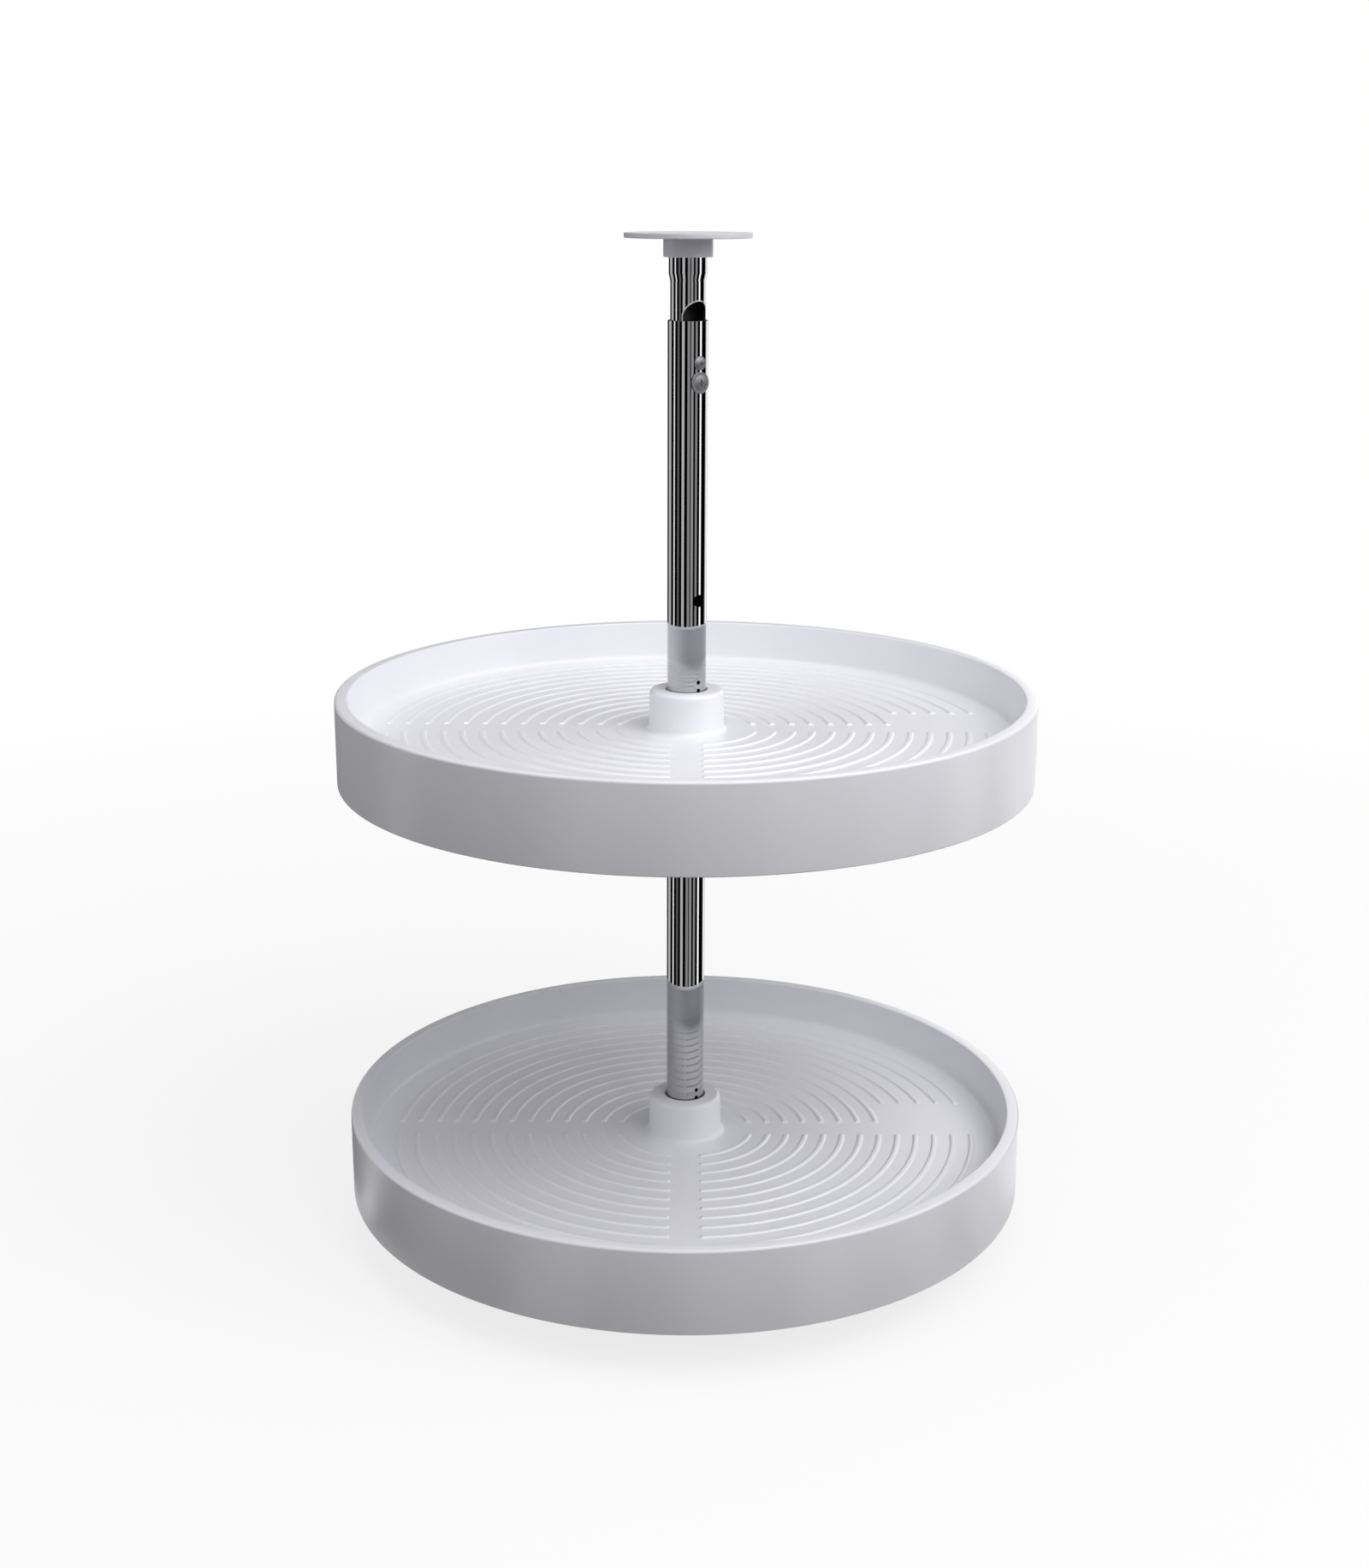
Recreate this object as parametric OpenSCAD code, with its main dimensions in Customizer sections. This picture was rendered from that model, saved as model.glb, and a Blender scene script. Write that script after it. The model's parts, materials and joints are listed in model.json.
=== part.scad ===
// Rotating shelf set for a pantry or corner cabinet. Two round moulded shelves turn on a
// telescoping chromed shaft that stands between a floor bracket and a ceiling bracket.
// Millimetres, +Z up. The origin is the centre of the floor bracket's underside.

/* [Shelves] */
// Outside diameter of each shelf
shelf_d = 457.2; // [400:0.1:620]
// Height of each shelf, from the bottom of its skirt to the top of its rim
shelf_h = 55.7; // [50:0.1:75]
// Depth of the shelf floor below the rim
floor_depth = 27; // [20:0.1:30]
// Thickness of the floor and of the inner wall
floor_t = 3; // [2:0.1:4]
// Thickness of the outer skirt
skirt_t = 3; // [2:0.1:4]
// Width of the band along the top of the rim
rim_band_w = 8.2; // [6:0.1:12]
// Height of solid rim above the gap between the inner wall and the skirt
rim_solid_h = 6; // [4:0.1:10]
// How far the inner wall leans in between the rim and the floor
wall_lean = 3.4; // [1:0.1:8]
// Rounding of the rim's outer edge
rim_outer_round = 2; // [1:0.1:5]
// Rounding of the rim's inner edge
rim_inner_round = 1; // [0.5:0.1:4]
// Rounding where the floor meets the inner wall
floor_round = 3.5; // [1:0.1:8]
// Rounding of the skirt's bottom edge
skirt_round = 0.8; // [0.3:0.1:1.5]
// Height of the lower shelf's skirt above the cabinet floor
ground_gap = 28.3; // [26:0.1:60]
// Height from the lower rim to the upper rim
shelf_pitch = 286.9; // [150:0.1:380]

/* [Floor ribs] */
// Radius of the innermost rib
rib_first_r = 45.4; // [40:0.1:60]
// Spacing from rib to rib
rib_pitch = 12.7; // [8:0.1:20]
// Width of a rib at the floor
rib_w = 4.4; // [2:0.1:6]
// Width of a rib's flat top
rib_top_w = 2; // [0.5:0.1:3]
// Height of a rib above the floor
rib_h = 1; // [0.5:0.1:2]
// Least bare floor between the last rib and the wall's foot
rib_edge_gap = 6; // [2:0.1:15]
// Width of the two bare strips that cross the floor
strip_w = 20.6; // [10:0.1:50]
// How many of the outer ribs stop short at the bare pad
pad_ribs = 5; // [1:1:8]
// Distance from the centre line to the far edge of the bare pad
pad_reach = 42; // [20:0.1:60]

/* [Shelf underside] */
// Number of webs that run from the hub to the skirt
web_count = 8; // [4:1:16]
// Thickness of a web
web_t = 2.2; // [1.5:0.1:4]
// Depth of a web below the floor's underside
web_h = 5; // [3:0.1:14]
// Radius of the ring that ties the webs together
web_ring_r = 120; // [60:0.1:180]

/* [Hub] */
// Diameter of the hub where it meets the floor
hub_d = 49.8; // [46:0.1:70]
// How far the hub's side leans in between the floor and its top
hub_lean = 0.6; // [0.1:0.1:2]
// Rounding of the hub's top edge
hub_top_round = 3; // [0.5:0.1:4]
// Rounding where the hub meets the floor
hub_foot_round = 3.5; // [1:0.1:8]
// Thickness of the hub's outer wall and of its top
hub_t = 3; // [2:0.1:4]
// Depth of the hub below the floor's underside
boss_h = 8; // [6:0.1:14]
// Gap all round between the shaft and the hub's upper bore
hub_gap = 1.2; // [0.2:0.1:1.3]
// Wall of the inner sleeve round the hub's bush
sleeve_t = 2.2; // [1.5:0.1:3]
// Number of webs inside the hub
hub_web_count = 6; // [3:1:12]

/* [Bearings] */
// Gap all round between a turning shaft and its bush
run_gap = 0.05; // [0.02:0.01:0.1]
// Gap between fixed pieces that are fitted together
fit_gap = 0.05; // [0.02:0.01:0.2]
// Wall of the bush in a shelf's hub
hub_bush_t = 1.8; // [1.6:0.1:2.5]
// Length of the hub's bush above its flange
hub_bush_l = 15; // [8:0.1:24]
// Diameter of the flange under the hub's bush
hub_bush_flange_d = 38; // [34:0.1:46]
// Thickness of the flange under the hub's bush
hub_bush_flange_t = 1.8; // [1:0.1:3]
// Diameter of the thrust washer on a collar
washer_d = 40; // [34:0.1:48]
// Thickness of the thrust washer on a collar
washer_t = 2.5; // [1:0.1:4]

/* [Collars] */
// Outside diameter of a shelf collar
collar_d = 42; // [36:0.1:50]
// Height of a shelf collar
collar_h = 12; // [9:0.1:14]
// Rounding of a collar's outer edges
collar_round = 1.2; // [0.5:0.1:2]
// Diameter of a collar's set screw
set_screw_d = 6; // [4:0.1:8]
// Width across the flats of the set screw's socket
set_screw_key = 3; // [2:0.1:4]

/* [Shaft tube] */
// Outside diameter of the shaft tube
shaft_d = 25.4; // [23.5:0.1:28]
// Wall of the shaft tube
shaft_t = 1.2; // [0.8:0.1:1.5]
// Length of the shaft tube
shaft_l = 596.9; // [540:0.1:800]
// Direction of the clamp screw and the side holes, anticlockwise from +X
side_angle = -52.5; // [-180:1:180]
// Diameter of the spare side hole
spare_hole_d = 8; // [4:0.1:10]
// Height of the spare side hole above the upper shelf's rim
spare_hole_rise = 60; // [20:0.1:100]
// Diameter of the pilot holes above each hub
pilot_d = 2.8; // [1.5:0.1:4]
// Height of the lower pilot hole above the rim's level
pilot_rise = 0.8; // [0:0.1:3]
// Distance between the two pilot holes
pilot_step = 5.4; // [4:0.1:12]

/* [Extension tube] */
// Outside diameter of the extension tube
extension_d = 22.2; // [20:0.1:22.6]
// Wall of the extension tube
extension_t = 1; // [0.8:0.1:1.5]
// Length of the extension tube
extension_l = 203.2; // [180:0.1:300]
// How far the extension tube stands out of the shaft tube at rest
extension_out = 47; // [40:0.1:120]
// Outside diameter of the widened top end
swage_d = 24.2; // [23.4:0.1:25.4]
// Length of the widened top end
swage_l = 18.7; // [14:0.1:24]
// Length of the neck between the two diameters
neck_l = 4.5; // [2:0.1:8]
// Width of the side slot
slot_w = 18; // [17:0.1:20]
// Distance of the slot's round end below the top of the extension tube
slot_drop = 35.3; // [30:0.1:60]

/* [Clamp] */
// Distance of the clamp screw below the top of the shaft tube
clamp_drop = 38; // [34:0.1:60]
// Diameter of the clamp screw's shank
clamp_d = 6; // [4:0.1:8]
// Diameter of the clamp screw's washer head
clamp_head_d = 13.5; // [10:0.1:16]
// Height of the clamp screw's head
clamp_head_h = 1.5; // [1.3:0.1:3]
// Height of the flat washer part of that head
clamp_brim_h = 0.7; // [0.4:0.1:1]
// Distance of the locating screw above the clamp screw
locating_rise = 12.1; // [10:0.1:18]
// Diameter of the locating screw's shank
locating_d = 4; // [3:0.1:5]
// Diameter of the locating screw's head
locating_head_d = 8.8; // [6:0.1:10]
// Height of the locating screw's head
locating_head_h = 1.5; // [1:0.1:3]
// Width of the nut plate inside the tubes
nut_plate_w = 16.5; // [12:0.1:17]
// Thickness of the nut plate
nut_plate_t = 4.5; // [3:0.1:6]
// Height of nut plate beyond the centre of each screw
nut_plate_end = 6; // [4:0.1:8]

/* [Brackets] */
// Diameter of both brackets' flanges
flange_d = 80; // [70:0.1:110]
// Thickness of both brackets' flanges
flange_t = 3.2; // [2:0.1:5]
// Depth of the ceiling bracket's hub below its flange
ceiling_hub_h = 11.5; // [9:0.1:20]
// Wall of the ceiling bracket's hub
ceiling_hub_t = 2; // [1.5:0.1:4]
// Height of the floor bracket's hub above its flange
floor_hub_h = 18; // [14:0.1:20]
// Wall of the floor bracket's hub
floor_hub_t = 2.5; // [1.5:0.1:4]
// Rounding where a hub meets its flange
flange_round = 1.2; // [0.5:0.1:3]
// Number of screw holes in each flange
hole_count = 4; // [3:1:8]
// Diameter of the screw holes
hole_d = 4.6; // [3:0.1:6]
// Diameter of the countersinks
countersink_d = 9; // [7:0.1:11]
// Distance from a hole's centre to the flange's edge
hole_margin = 9; // [7:0.1:14]

/* [Shaft ends] */
// Diameter of the thrust ball
ball_d = 7.94; // [6:0.01:10]
// Depth of the ball's cup in the floor bracket
cup_depth = 2; // [1:0.1:2.5]
// Depth of the ball's seat in the foot plug
ball_seat_depth = 1.44; // [0.8:0.01:2]
// Height of the floor bracket's socket floor
socket_floor = 4.5; // [3.5:0.1:6]
// Wall of the floor bush
floor_bush_t = 1.7; // [1:0.1:3]
// Thickness of the lip on the floor bush
floor_bush_lip_t = 1.5; // [1:0.1:2]
// Thickness of the foot plug's flange
plug_flange_t = 1.5; // [1:0.1:3]
// Length of the foot plug inside the shaft tube
plug_l = 14; // [8:0.1:30]
// Wall of the ceiling bush
ceiling_bush_t = 1.3; // [1:0.1:3]
// Thickness of the end cap's flange
cap_flange_t = 1.2; // [0.8:0.1:2]
// Length of the end cap inside the extension tube
cap_l = 10; // [6:0.1:14]
// Height of the button on the end cap
button_h = 1.3; // [0.6:0.1:2]
// Diameter of the button on the end cap
button_d = 9; // [5:0.1:14]
// Gap between the button and the ceiling bracket
button_gap = 0.3; // [0.1:0.1:1]

/* [Hidden] */
$fn = 96;

// Steps of the arc at a rounded corner
arc_steps = 6;
// How far one solid reaches into another where they are joined
bite = 0.5;
// How far a cutter reaches past the surface it cuts
past = 1;

// Colours
shelf_white = [0.93, 0.93, 0.95];
bracket_white = [0.86, 0.86, 0.88];
nylon = [0.90, 0.89, 0.84];
chrome = [0.80, 0.81, 0.83];
zinc = [0.66, 0.67, 0.69];
steel = [0.74, 0.75, 0.77];

// Radii of the shaft, its bushes and what holds them
shaft_r = shaft_d / 2;
shaft_bore_r = shaft_r - shaft_t;
extension_r = extension_d / 2;
extension_bore_r = extension_r - extension_t;
swage_r = swage_d / 2;
running_r = shaft_r + run_gap;
hub_bush_r = running_r + hub_bush_t;
hub_bush_seat_r = hub_bush_r + fit_gap;
floor_bush_r = running_r + floor_bush_t;
floor_socket_r = floor_bush_r + fit_gap;
floor_hub_r = floor_socket_r + floor_hub_t;
ceiling_bush_r = swage_r + run_gap + ceiling_bush_t;
ceiling_socket_r = ceiling_bush_r + fit_gap;
ceiling_hub_r = ceiling_socket_r + ceiling_hub_t;

// Radii of a shelf
shelf_r = shelf_d / 2;
rim_r = shelf_r - rim_band_w;
floor_r = rim_r - wall_lean;
outer_round = min(rim_outer_round, 0.58 * rim_band_w);
inner_round = min(rim_inner_round, 0.4 * rim_band_w);
hub_r = hub_d / 2;
hub_top_r = hub_r - hub_lean;
hub_bore_r = shaft_r + hub_gap;
sleeve_r = hub_bush_seat_r + sleeve_t;
rib_room = floor_r - floor_round - rib_edge_gap - rib_first_r - rib_w / 2;
rib_count = floor(rib_room / rib_pitch) + 1;
rib_last_r = rib_first_r + (rib_count - 1) * rib_pitch;

// Heights below a shelf's rim
floor_under = floor_depth + floor_t;
boss_under = floor_under + boss_h;
washer_top = boss_under + hub_bush_flange_t + run_gap;
collar_top = washer_top + washer_t + fit_gap;

// Heights above the cabinet floor
ball_z = socket_floor + ball_d / 2 - cup_depth;
plug_z = ball_z + ball_d / 2 - ball_seat_depth;
shaft_z = plug_z + plug_flange_t;
shaft_top = shaft_z + shaft_l;
clamp_z = shaft_top - clamp_drop;
locating_z = clamp_z + locating_rise;
extension_top = shaft_top + extension_out;
extension_z = extension_top - extension_l;
lower_rim_z = ground_gap + shelf_h;
upper_rim_z = lower_rim_z + shelf_pitch;
ceiling_roof_z = extension_top + cap_flange_t + button_h + button_gap;
ceiling_z = ceiling_roof_z + flange_t;
hole_circle_d = flange_d - 2 * hole_margin;

function unit(v) = v / norm(v);

// Points of the arc of radius r that rounds the corner b of the outline a, b, c
function corner_arc(a, b, c, r) =
    let (u = unit(a - b), v = unit(c - b), half = acos(u * v) / 2)
    let (m = b + unit(u + v) * r / sin(half))
    let (p = b + u * r / tan(half) - m, q = b + v * r / tan(half) - m)
    let (start = atan2(p.y, p.x), turn = atan2(q.y, q.x) - start)
    let (sweep = turn > 180 ? turn - 360 : turn < -180 ? turn + 360 : turn)
    [for (i = [0 : arc_steps]) m + r * [cos(start + sweep * i / arc_steps),
                                        sin(start + sweep * i / arc_steps)]];

function flat(corner) = [corner.x, corner.y];

// An outline from corners [x, y, rounding], with an arc at each corner that has a rounding
function rounded(corners) =
    let (n = len(corners))
    [for (i = [0 : n - 1])
        let (b = corners[i], a = corners[(i + n - 1) % n], c = corners[(i + 1) % n])
        each (b.z > 0 ? corner_arc(flat(a), flat(b), flat(c), b.z) : [flat(b)])];

// A dome of radius r and height h above y = base, from its edge to the axis
function dome(r, h, base) =
    let (ball = (r * r + h * h) / (2 * h), edge = asin(r / ball))
    [for (i = [0 : arc_steps]) let (a = edge * (1 - i / arc_steps))
        [ball * sin(a), base + h - ball + ball * cos(a)]];

// Radius of the shelf's inner wall at a depth below the rim
function wall_r(depth) = rim_r - wall_lean * depth / floor_depth;

// Turns its children to face along the side direction, with the shaft's axis behind them
module facing_side(z) {
    translate([0, 0, z])
    rotate([0, 0, side_angle])
    rotate([0, 90, 0])
    children();
}

// A round hole through the front wall of the shaft tube
module side_hole(z, d) {
    facing_side(z)
    translate([0, 0, shaft_bore_r / 2])
    cylinder(h = shaft_r, d = d);
}

// A plain ring between two heights
module ring(inner_r, outer_r, z, h) {
    translate([0, 0, z])
    difference() {
        cylinder(h = h, r = outer_r);
        translate([0, 0, -past])
        cylinder(h = h + 2 * past, r = inner_r);
    }
}

// ---- Shelves -------------------------------------------------------------------------

// Outline of the moulding from the axis outwards, with the rim's top at height 0
module shelf_section() {
    polygon(rounded([
        [shelf_r, -shelf_h, skirt_round],
        [shelf_r, 0, outer_round],
        [rim_r, 0, inner_round],
        [floor_r, -floor_depth, floor_round],
        [hub_r, -floor_depth, hub_foot_round],
        [hub_top_r, 0, hub_top_round],
        [hub_bore_r, 0, 0],
        [hub_bore_r, hub_bush_l - boss_under, 0],
        [hub_bush_seat_r, hub_bush_l - boss_under, 0],
        [hub_bush_seat_r, -boss_under, 0],
        [sleeve_r, -boss_under, 0],
        [sleeve_r, -hub_t, 0],
        [hub_top_r - hub_t, -hub_t, 0],
        [hub_r - hub_t, -floor_depth, 0],
        [hub_r - hub_t, -boss_under, 0],
        [hub_r, -boss_under, 0],
        [hub_r, -floor_under, 0],
        [wall_r(floor_under) + floor_t, -floor_under, 0],
        [wall_r(rim_solid_h) + floor_t, -rim_solid_h, 0],
        [shelf_r - skirt_t, -rim_solid_h, 0],
        [shelf_r - skirt_t, -shelf_h, 0]
    ]));
}

// Outline of one rib at radius r: a low flat-topped bead that reaches into the floor
module rib_section(r) {
    polygon([
        [r - rib_w / 2, -floor_depth - bite],
        [r + rib_w / 2, -floor_depth - bite],
        [r + rib_w / 2, -floor_depth],
        [r + rib_top_w / 2, -floor_depth + rib_h],
        [r - rib_top_w / 2, -floor_depth + rib_h],
        [r - rib_w / 2, -floor_depth]
    ]);
}

// Ribs in rings, parted by two crossing strips and by the pad beside the right-hand strip
module floor_ribs() {
    cut_h = rib_h + 2 * bite + 2 * past;
    cut_z = -floor_depth - bite - past;
    pad_start = rib_last_r - (pad_ribs - 0.5) * rib_pitch;
    difference() {
        for (i = [0 : rib_count - 1])
            rotate_extrude()
            rib_section(rib_first_r + i * rib_pitch);
        translate([-shelf_r, -strip_w / 2, cut_z])
        cube([2 * shelf_r, strip_w, cut_h]);
        translate([-strip_w / 2, -shelf_r, cut_z])
        cube([strip_w, 2 * shelf_r, cut_h]);
        translate([pad_start, 0, cut_z])
        cube([shelf_r, pad_reach, cut_h]);
    }
}

// Webs under the floor, from the hub to the skirt, and the ring that ties them
module underside_webs() {
    web_z = -floor_under - web_h;
    for (i = [0 : web_count - 1])
        rotate([0, 0, (i + 0.5) * 360 / web_count])
        translate([hub_r - bite, -web_t / 2, web_z])
        cube([shelf_r - skirt_t - hub_r + 2 * bite, web_t, web_h + bite]);
    ring(web_ring_r - web_t / 2, web_ring_r + web_t / 2, web_z, web_h + bite);
}

// Webs inside the hollow of the hub
module hub_webs() {
    for (i = [0 : hub_web_count - 1])
        rotate([0, 0, (i + 0.5) * 360 / hub_web_count])
        translate([sleeve_r - bite, -web_t / 2, -boss_under + boss_h / 2])
        cube([hub_r - hub_t - sleeve_r + 2 * bite, web_t, boss_under - hub_t - boss_h / 2 + bite]);
}

module shelf(rim_z) {
    color(shelf_white)
    translate([0, 0, rim_z])
    union() {
        rotate_extrude()
        shelf_section();
        floor_ribs();
        underside_webs();
        hub_webs();
    }
}

module lower_shelf() shelf(lower_rim_z);

module upper_shelf() shelf(upper_rim_z);

// Flanged bush that fits up into a hub and runs on the shaft
module hub_bush(rim_z) {
    color(nylon)
    translate([0, 0, rim_z - boss_under])
    rotate_extrude()
    polygon([
        [running_r, -hub_bush_flange_t],
        [hub_bush_flange_d / 2, -hub_bush_flange_t],
        [hub_bush_flange_d / 2, -fit_gap],
        [hub_bush_r, -fit_gap],
        [hub_bush_r, hub_bush_l - fit_gap],
        [running_r, hub_bush_l - fit_gap]
    ]);
}

module lower_hub_bush() hub_bush(lower_rim_z);

module upper_hub_bush() hub_bush(upper_rim_z);

// ---- Collars -------------------------------------------------------------------------

// Thrust washer that lies on a collar, under the hub's bush
module thrust_washer(rim_z) {
    color(nylon)
    ring(running_r, washer_d / 2, rim_z - washer_top - washer_t, washer_t);
}

module lower_thrust_washer() thrust_washer(lower_rim_z);

module upper_thrust_washer() thrust_washer(upper_rim_z);

// Round collar that grips the shaft and carries a shelf
module collar(rim_z) {
    collar_z = rim_z - collar_top - collar_h;
    color(zinc)
    difference() {
        translate([0, 0, collar_z])
        rotate_extrude()
        polygon(rounded([
            [running_r, 0, 0],
            [collar_d / 2, 0, collar_round],
            [collar_d / 2, collar_h, collar_round],
            [running_r, collar_h, 0]
        ]));
        facing_side(collar_z + collar_h / 2)
        cylinder(h = collar_d, d = set_screw_d + 2 * fit_gap);
    }
}

module lower_collar() collar(lower_rim_z);

module upper_collar() collar(upper_rim_z);

// Socket set screw in a collar, with its tip at the shaft
module set_screw(rim_z) {
    tip = shaft_r + run_gap;
    length = collar_d / 2 - tip - fit_gap;
    color(steel)
    facing_side(rim_z - collar_top - collar_h / 2)
    difference() {
        translate([0, 0, tip])
        cylinder(h = length, d = set_screw_d);
        translate([0, 0, tip + length / 2])
        cylinder(h = length, d = set_screw_key / cos(30), $fn = 6);
    }
}

module lower_set_screw() set_screw(lower_rim_z);

module upper_set_screw() set_screw(upper_rim_z);

// ---- Shaft ---------------------------------------------------------------------------

module shaft_tube() {
    color(chrome)
    difference() {
        ring(shaft_bore_r, shaft_r, shaft_z, shaft_l);
        side_hole(clamp_z, clamp_d + 4 * fit_gap);
        side_hole(locating_z, locating_d + 4 * fit_gap);
        side_hole(upper_rim_z + spare_hole_rise, spare_hole_d);
        for (rim_z = [lower_rim_z, upper_rim_z], step = [0, pilot_step])
            side_hole(rim_z + pilot_rise + step, pilot_d);
    }
}

// Plug in the foot of the shaft, with the seat that runs on the thrust ball
module foot_plug() {
    color(zinc)
    difference() {
        union() {
            translate([0, 0, plug_z])
            cylinder(h = plug_flange_t - fit_gap, r = shaft_r);
            translate([0, 0, plug_z])
            cylinder(h = plug_flange_t + plug_l, r = shaft_bore_r - fit_gap);
        }
        translate([0, 0, ball_z])
        sphere(d = ball_d + 2 * run_gap);
    }
}

// Inner tube: a slotted lower part, a neck and a wider end that runs in the ceiling bracket
module extension_tube() {
    neck_top = extension_l - swage_l;
    neck_z = neck_top - neck_l;
    slot_end = extension_l - slot_drop - slot_w / 2;
    color(chrome)
    translate([0, 0, extension_z])
    difference() {
        rotate_extrude()
        polygon(rounded([
            [extension_bore_r, 0, 0],
            [extension_r, 0, 0],
            [extension_r, neck_z, 2],
            [swage_r, neck_top, 2],
            [swage_r, extension_l, 0],
            [swage_r - extension_t, extension_l, 0],
            [swage_r - extension_t, neck_top, 2],
            [extension_bore_r, neck_z, 2]
        ]));
        rotate([0, 0, side_angle])
        translate([0, -slot_w / 2, -past])
        cube([extension_d, slot_w, slot_end + past]);
        rotate([0, 0, side_angle])
        translate([0, 0, slot_end])
        rotate([0, 90, 0])
        cylinder(h = extension_d, d = slot_w);
    }
}

// Cap in the top of the extension tube, with a low button in its middle
module end_cap() {
    color(nylon)
    translate([0, 0, extension_top])
    union() {
        translate([0, 0, -cap_l])
        cylinder(h = cap_l + cap_flange_t, r = swage_r - extension_t - fit_gap);
        translate([0, 0, fit_gap])
        cylinder(h = cap_flange_t - fit_gap, r = swage_r);
        rotate_extrude()
        polygon(concat([[0, cap_flange_t - bite], [button_d / 2, cap_flange_t - bite]],
                       dome(button_d / 2, button_h, cap_flange_t)));
    }
}

// ---- Clamp ---------------------------------------------------------------------------

// Cross recess in a screw's head, cut down from height 0
module cross_recess(span, width, depth) {
    for (turn = [0, 90])
        rotate([0, 0, turn])
        translate([-span / 2, -width / 2, -depth])
        cube([span, width, depth + past]);
}

// Screw that presses on the back wall of the extension tube and locks it
module clamp_screw() {
    head_z = shaft_r + fit_gap;
    tip = 2 * fit_gap - sqrt(pow(extension_bore_r, 2) - pow(clamp_d / 2, 2));
    dome_r = 0.7 * clamp_head_d / 2;
    color(steel)
    facing_side(clamp_z)
    difference() {
        union() {
            translate([0, 0, tip])
            cylinder(h = head_z - tip + bite, d = clamp_d);
            translate([0, 0, head_z])
            rotate_extrude()
            polygon(concat([[0, 0], [clamp_head_d / 2, 0], [clamp_head_d / 2, clamp_brim_h / 2],
                            [clamp_head_d / 2 - clamp_brim_h / 2, clamp_brim_h]],
                           dome(dome_r, clamp_head_h - clamp_brim_h, clamp_brim_h)));
        }
        translate([0, 0, head_z + clamp_head_h])
        cross_recess(0.4 * clamp_head_d, 0.08 * clamp_head_d, 0.5 * clamp_head_h);
    }
}

// Short screw that holds the nut plate in the shaft tube
module locating_screw() {
    head_z = shaft_r + fit_gap;
    tip = shaft_bore_r - nut_plate_t;
    color(steel)
    facing_side(locating_z)
    difference() {
        union() {
            translate([0, 0, tip])
            cylinder(h = head_z - tip + bite, d = locating_d);
            translate([0, 0, head_z])
            rotate_extrude()
            polygon(concat([[0, 0], [locating_head_d / 2, 0]],
                           dome(locating_head_d / 2, 0.8 * locating_head_h, 0.2 * locating_head_h)));
        }
        translate([0, 0, head_z + locating_head_h])
        cross_recess(0.5 * locating_head_d, 0.11 * locating_head_d, 0.55 * locating_head_h);
    }
}

// Threaded plate that lies against the inside of the shaft tube, in the extension's slot
module nut_plate() {
    plate_z = clamp_z - nut_plate_end;
    plate_h = locating_rise + 2 * nut_plate_end;
    color(zinc)
    difference() {
        intersection() {
            translate([0, 0, plate_z])
            cylinder(h = plate_h, r = shaft_bore_r - fit_gap);
            rotate([0, 0, side_angle])
            translate([shaft_bore_r - nut_plate_t, -nut_plate_w / 2, plate_z])
            cube([nut_plate_t, nut_plate_w, plate_h]);
        }
        facing_side(clamp_z)
        cylinder(h = shaft_r, d = clamp_d + 2 * fit_gap);
        facing_side(locating_z)
        cylinder(h = shaft_r, d = locating_d + 2 * fit_gap);
    }
}

// ---- Brackets ------------------------------------------------------------------------

// Screw holes through a flange that lies from height 0 up, countersunk from above
module screw_holes() {
    for (i = [0 : hole_count - 1])
        rotate([0, 0, (i + 0.5) * 360 / hole_count])
        translate([hole_circle_d / 2, 0, 0]) {
            translate([0, 0, -past])
            cylinder(h = flange_t + 2 * past, d = hole_d);
            translate([0, 0, flange_t - (countersink_d - hole_d) / 2])
            cylinder(h = (countersink_d - hole_d) / 2 + past, d1 = hole_d,
                     d2 = countersink_d + 2 * past);
        }
}

// Floor bracket: a flange with a hub whose socket holds the bush, the ball and the shaft
module floor_flange() {
    hub_top = flange_t + floor_hub_h;
    color(bracket_white)
    difference() {
        rotate_extrude()
        polygon(rounded([
            [0, 0, 0],
            [flange_d / 2, 0, 0],
            [flange_d / 2, flange_t, 0.6],
            [floor_hub_r, flange_t, flange_round],
            [floor_hub_r, hub_top, 0.6],
            [floor_socket_r, hub_top, 0],
            [floor_socket_r, socket_floor, 0],
            [0, socket_floor, 0]
        ]));
        screw_holes();
        translate([0, 0, ball_z])
        sphere(d = ball_d + 2 * run_gap);
    }
}

// Lipped bush in the floor bracket
module floor_bush() {
    hub_top = flange_t + floor_hub_h;
    color(nylon)
    rotate_extrude()
    polygon([
        [running_r, socket_floor + fit_gap],
        [floor_bush_r, socket_floor + fit_gap],
        [floor_bush_r, hub_top + fit_gap],
        [floor_hub_r - fit_gap, hub_top + fit_gap],
        [floor_hub_r - fit_gap, hub_top + fit_gap + floor_bush_lip_t],
        [running_r, hub_top + fit_gap + floor_bush_lip_t]
    ]);
}

module thrust_ball() {
    color(steel)
    translate([0, 0, ball_z])
    sphere(d = ball_d);
}

// Ceiling bracket: a flange with a hub below it whose socket holds the bush
module ceiling_flange() {
    color(bracket_white)
    translate([0, 0, ceiling_z])
    mirror([0, 0, 1])
    difference() {
        rotate_extrude()
        polygon(rounded([
            [0, 0, 0],
            [flange_d / 2, 0, 0],
            [flange_d / 2, flange_t, 0.6],
            [ceiling_hub_r, flange_t, 0.4],
            [ceiling_hub_r, flange_t + ceiling_hub_h, 0.5],
            [ceiling_socket_r, flange_t + ceiling_hub_h, 0],
            [ceiling_socket_r, flange_t, 0],
            [0, flange_t, 0]
        ]));
        screw_holes();
    }
}

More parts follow.
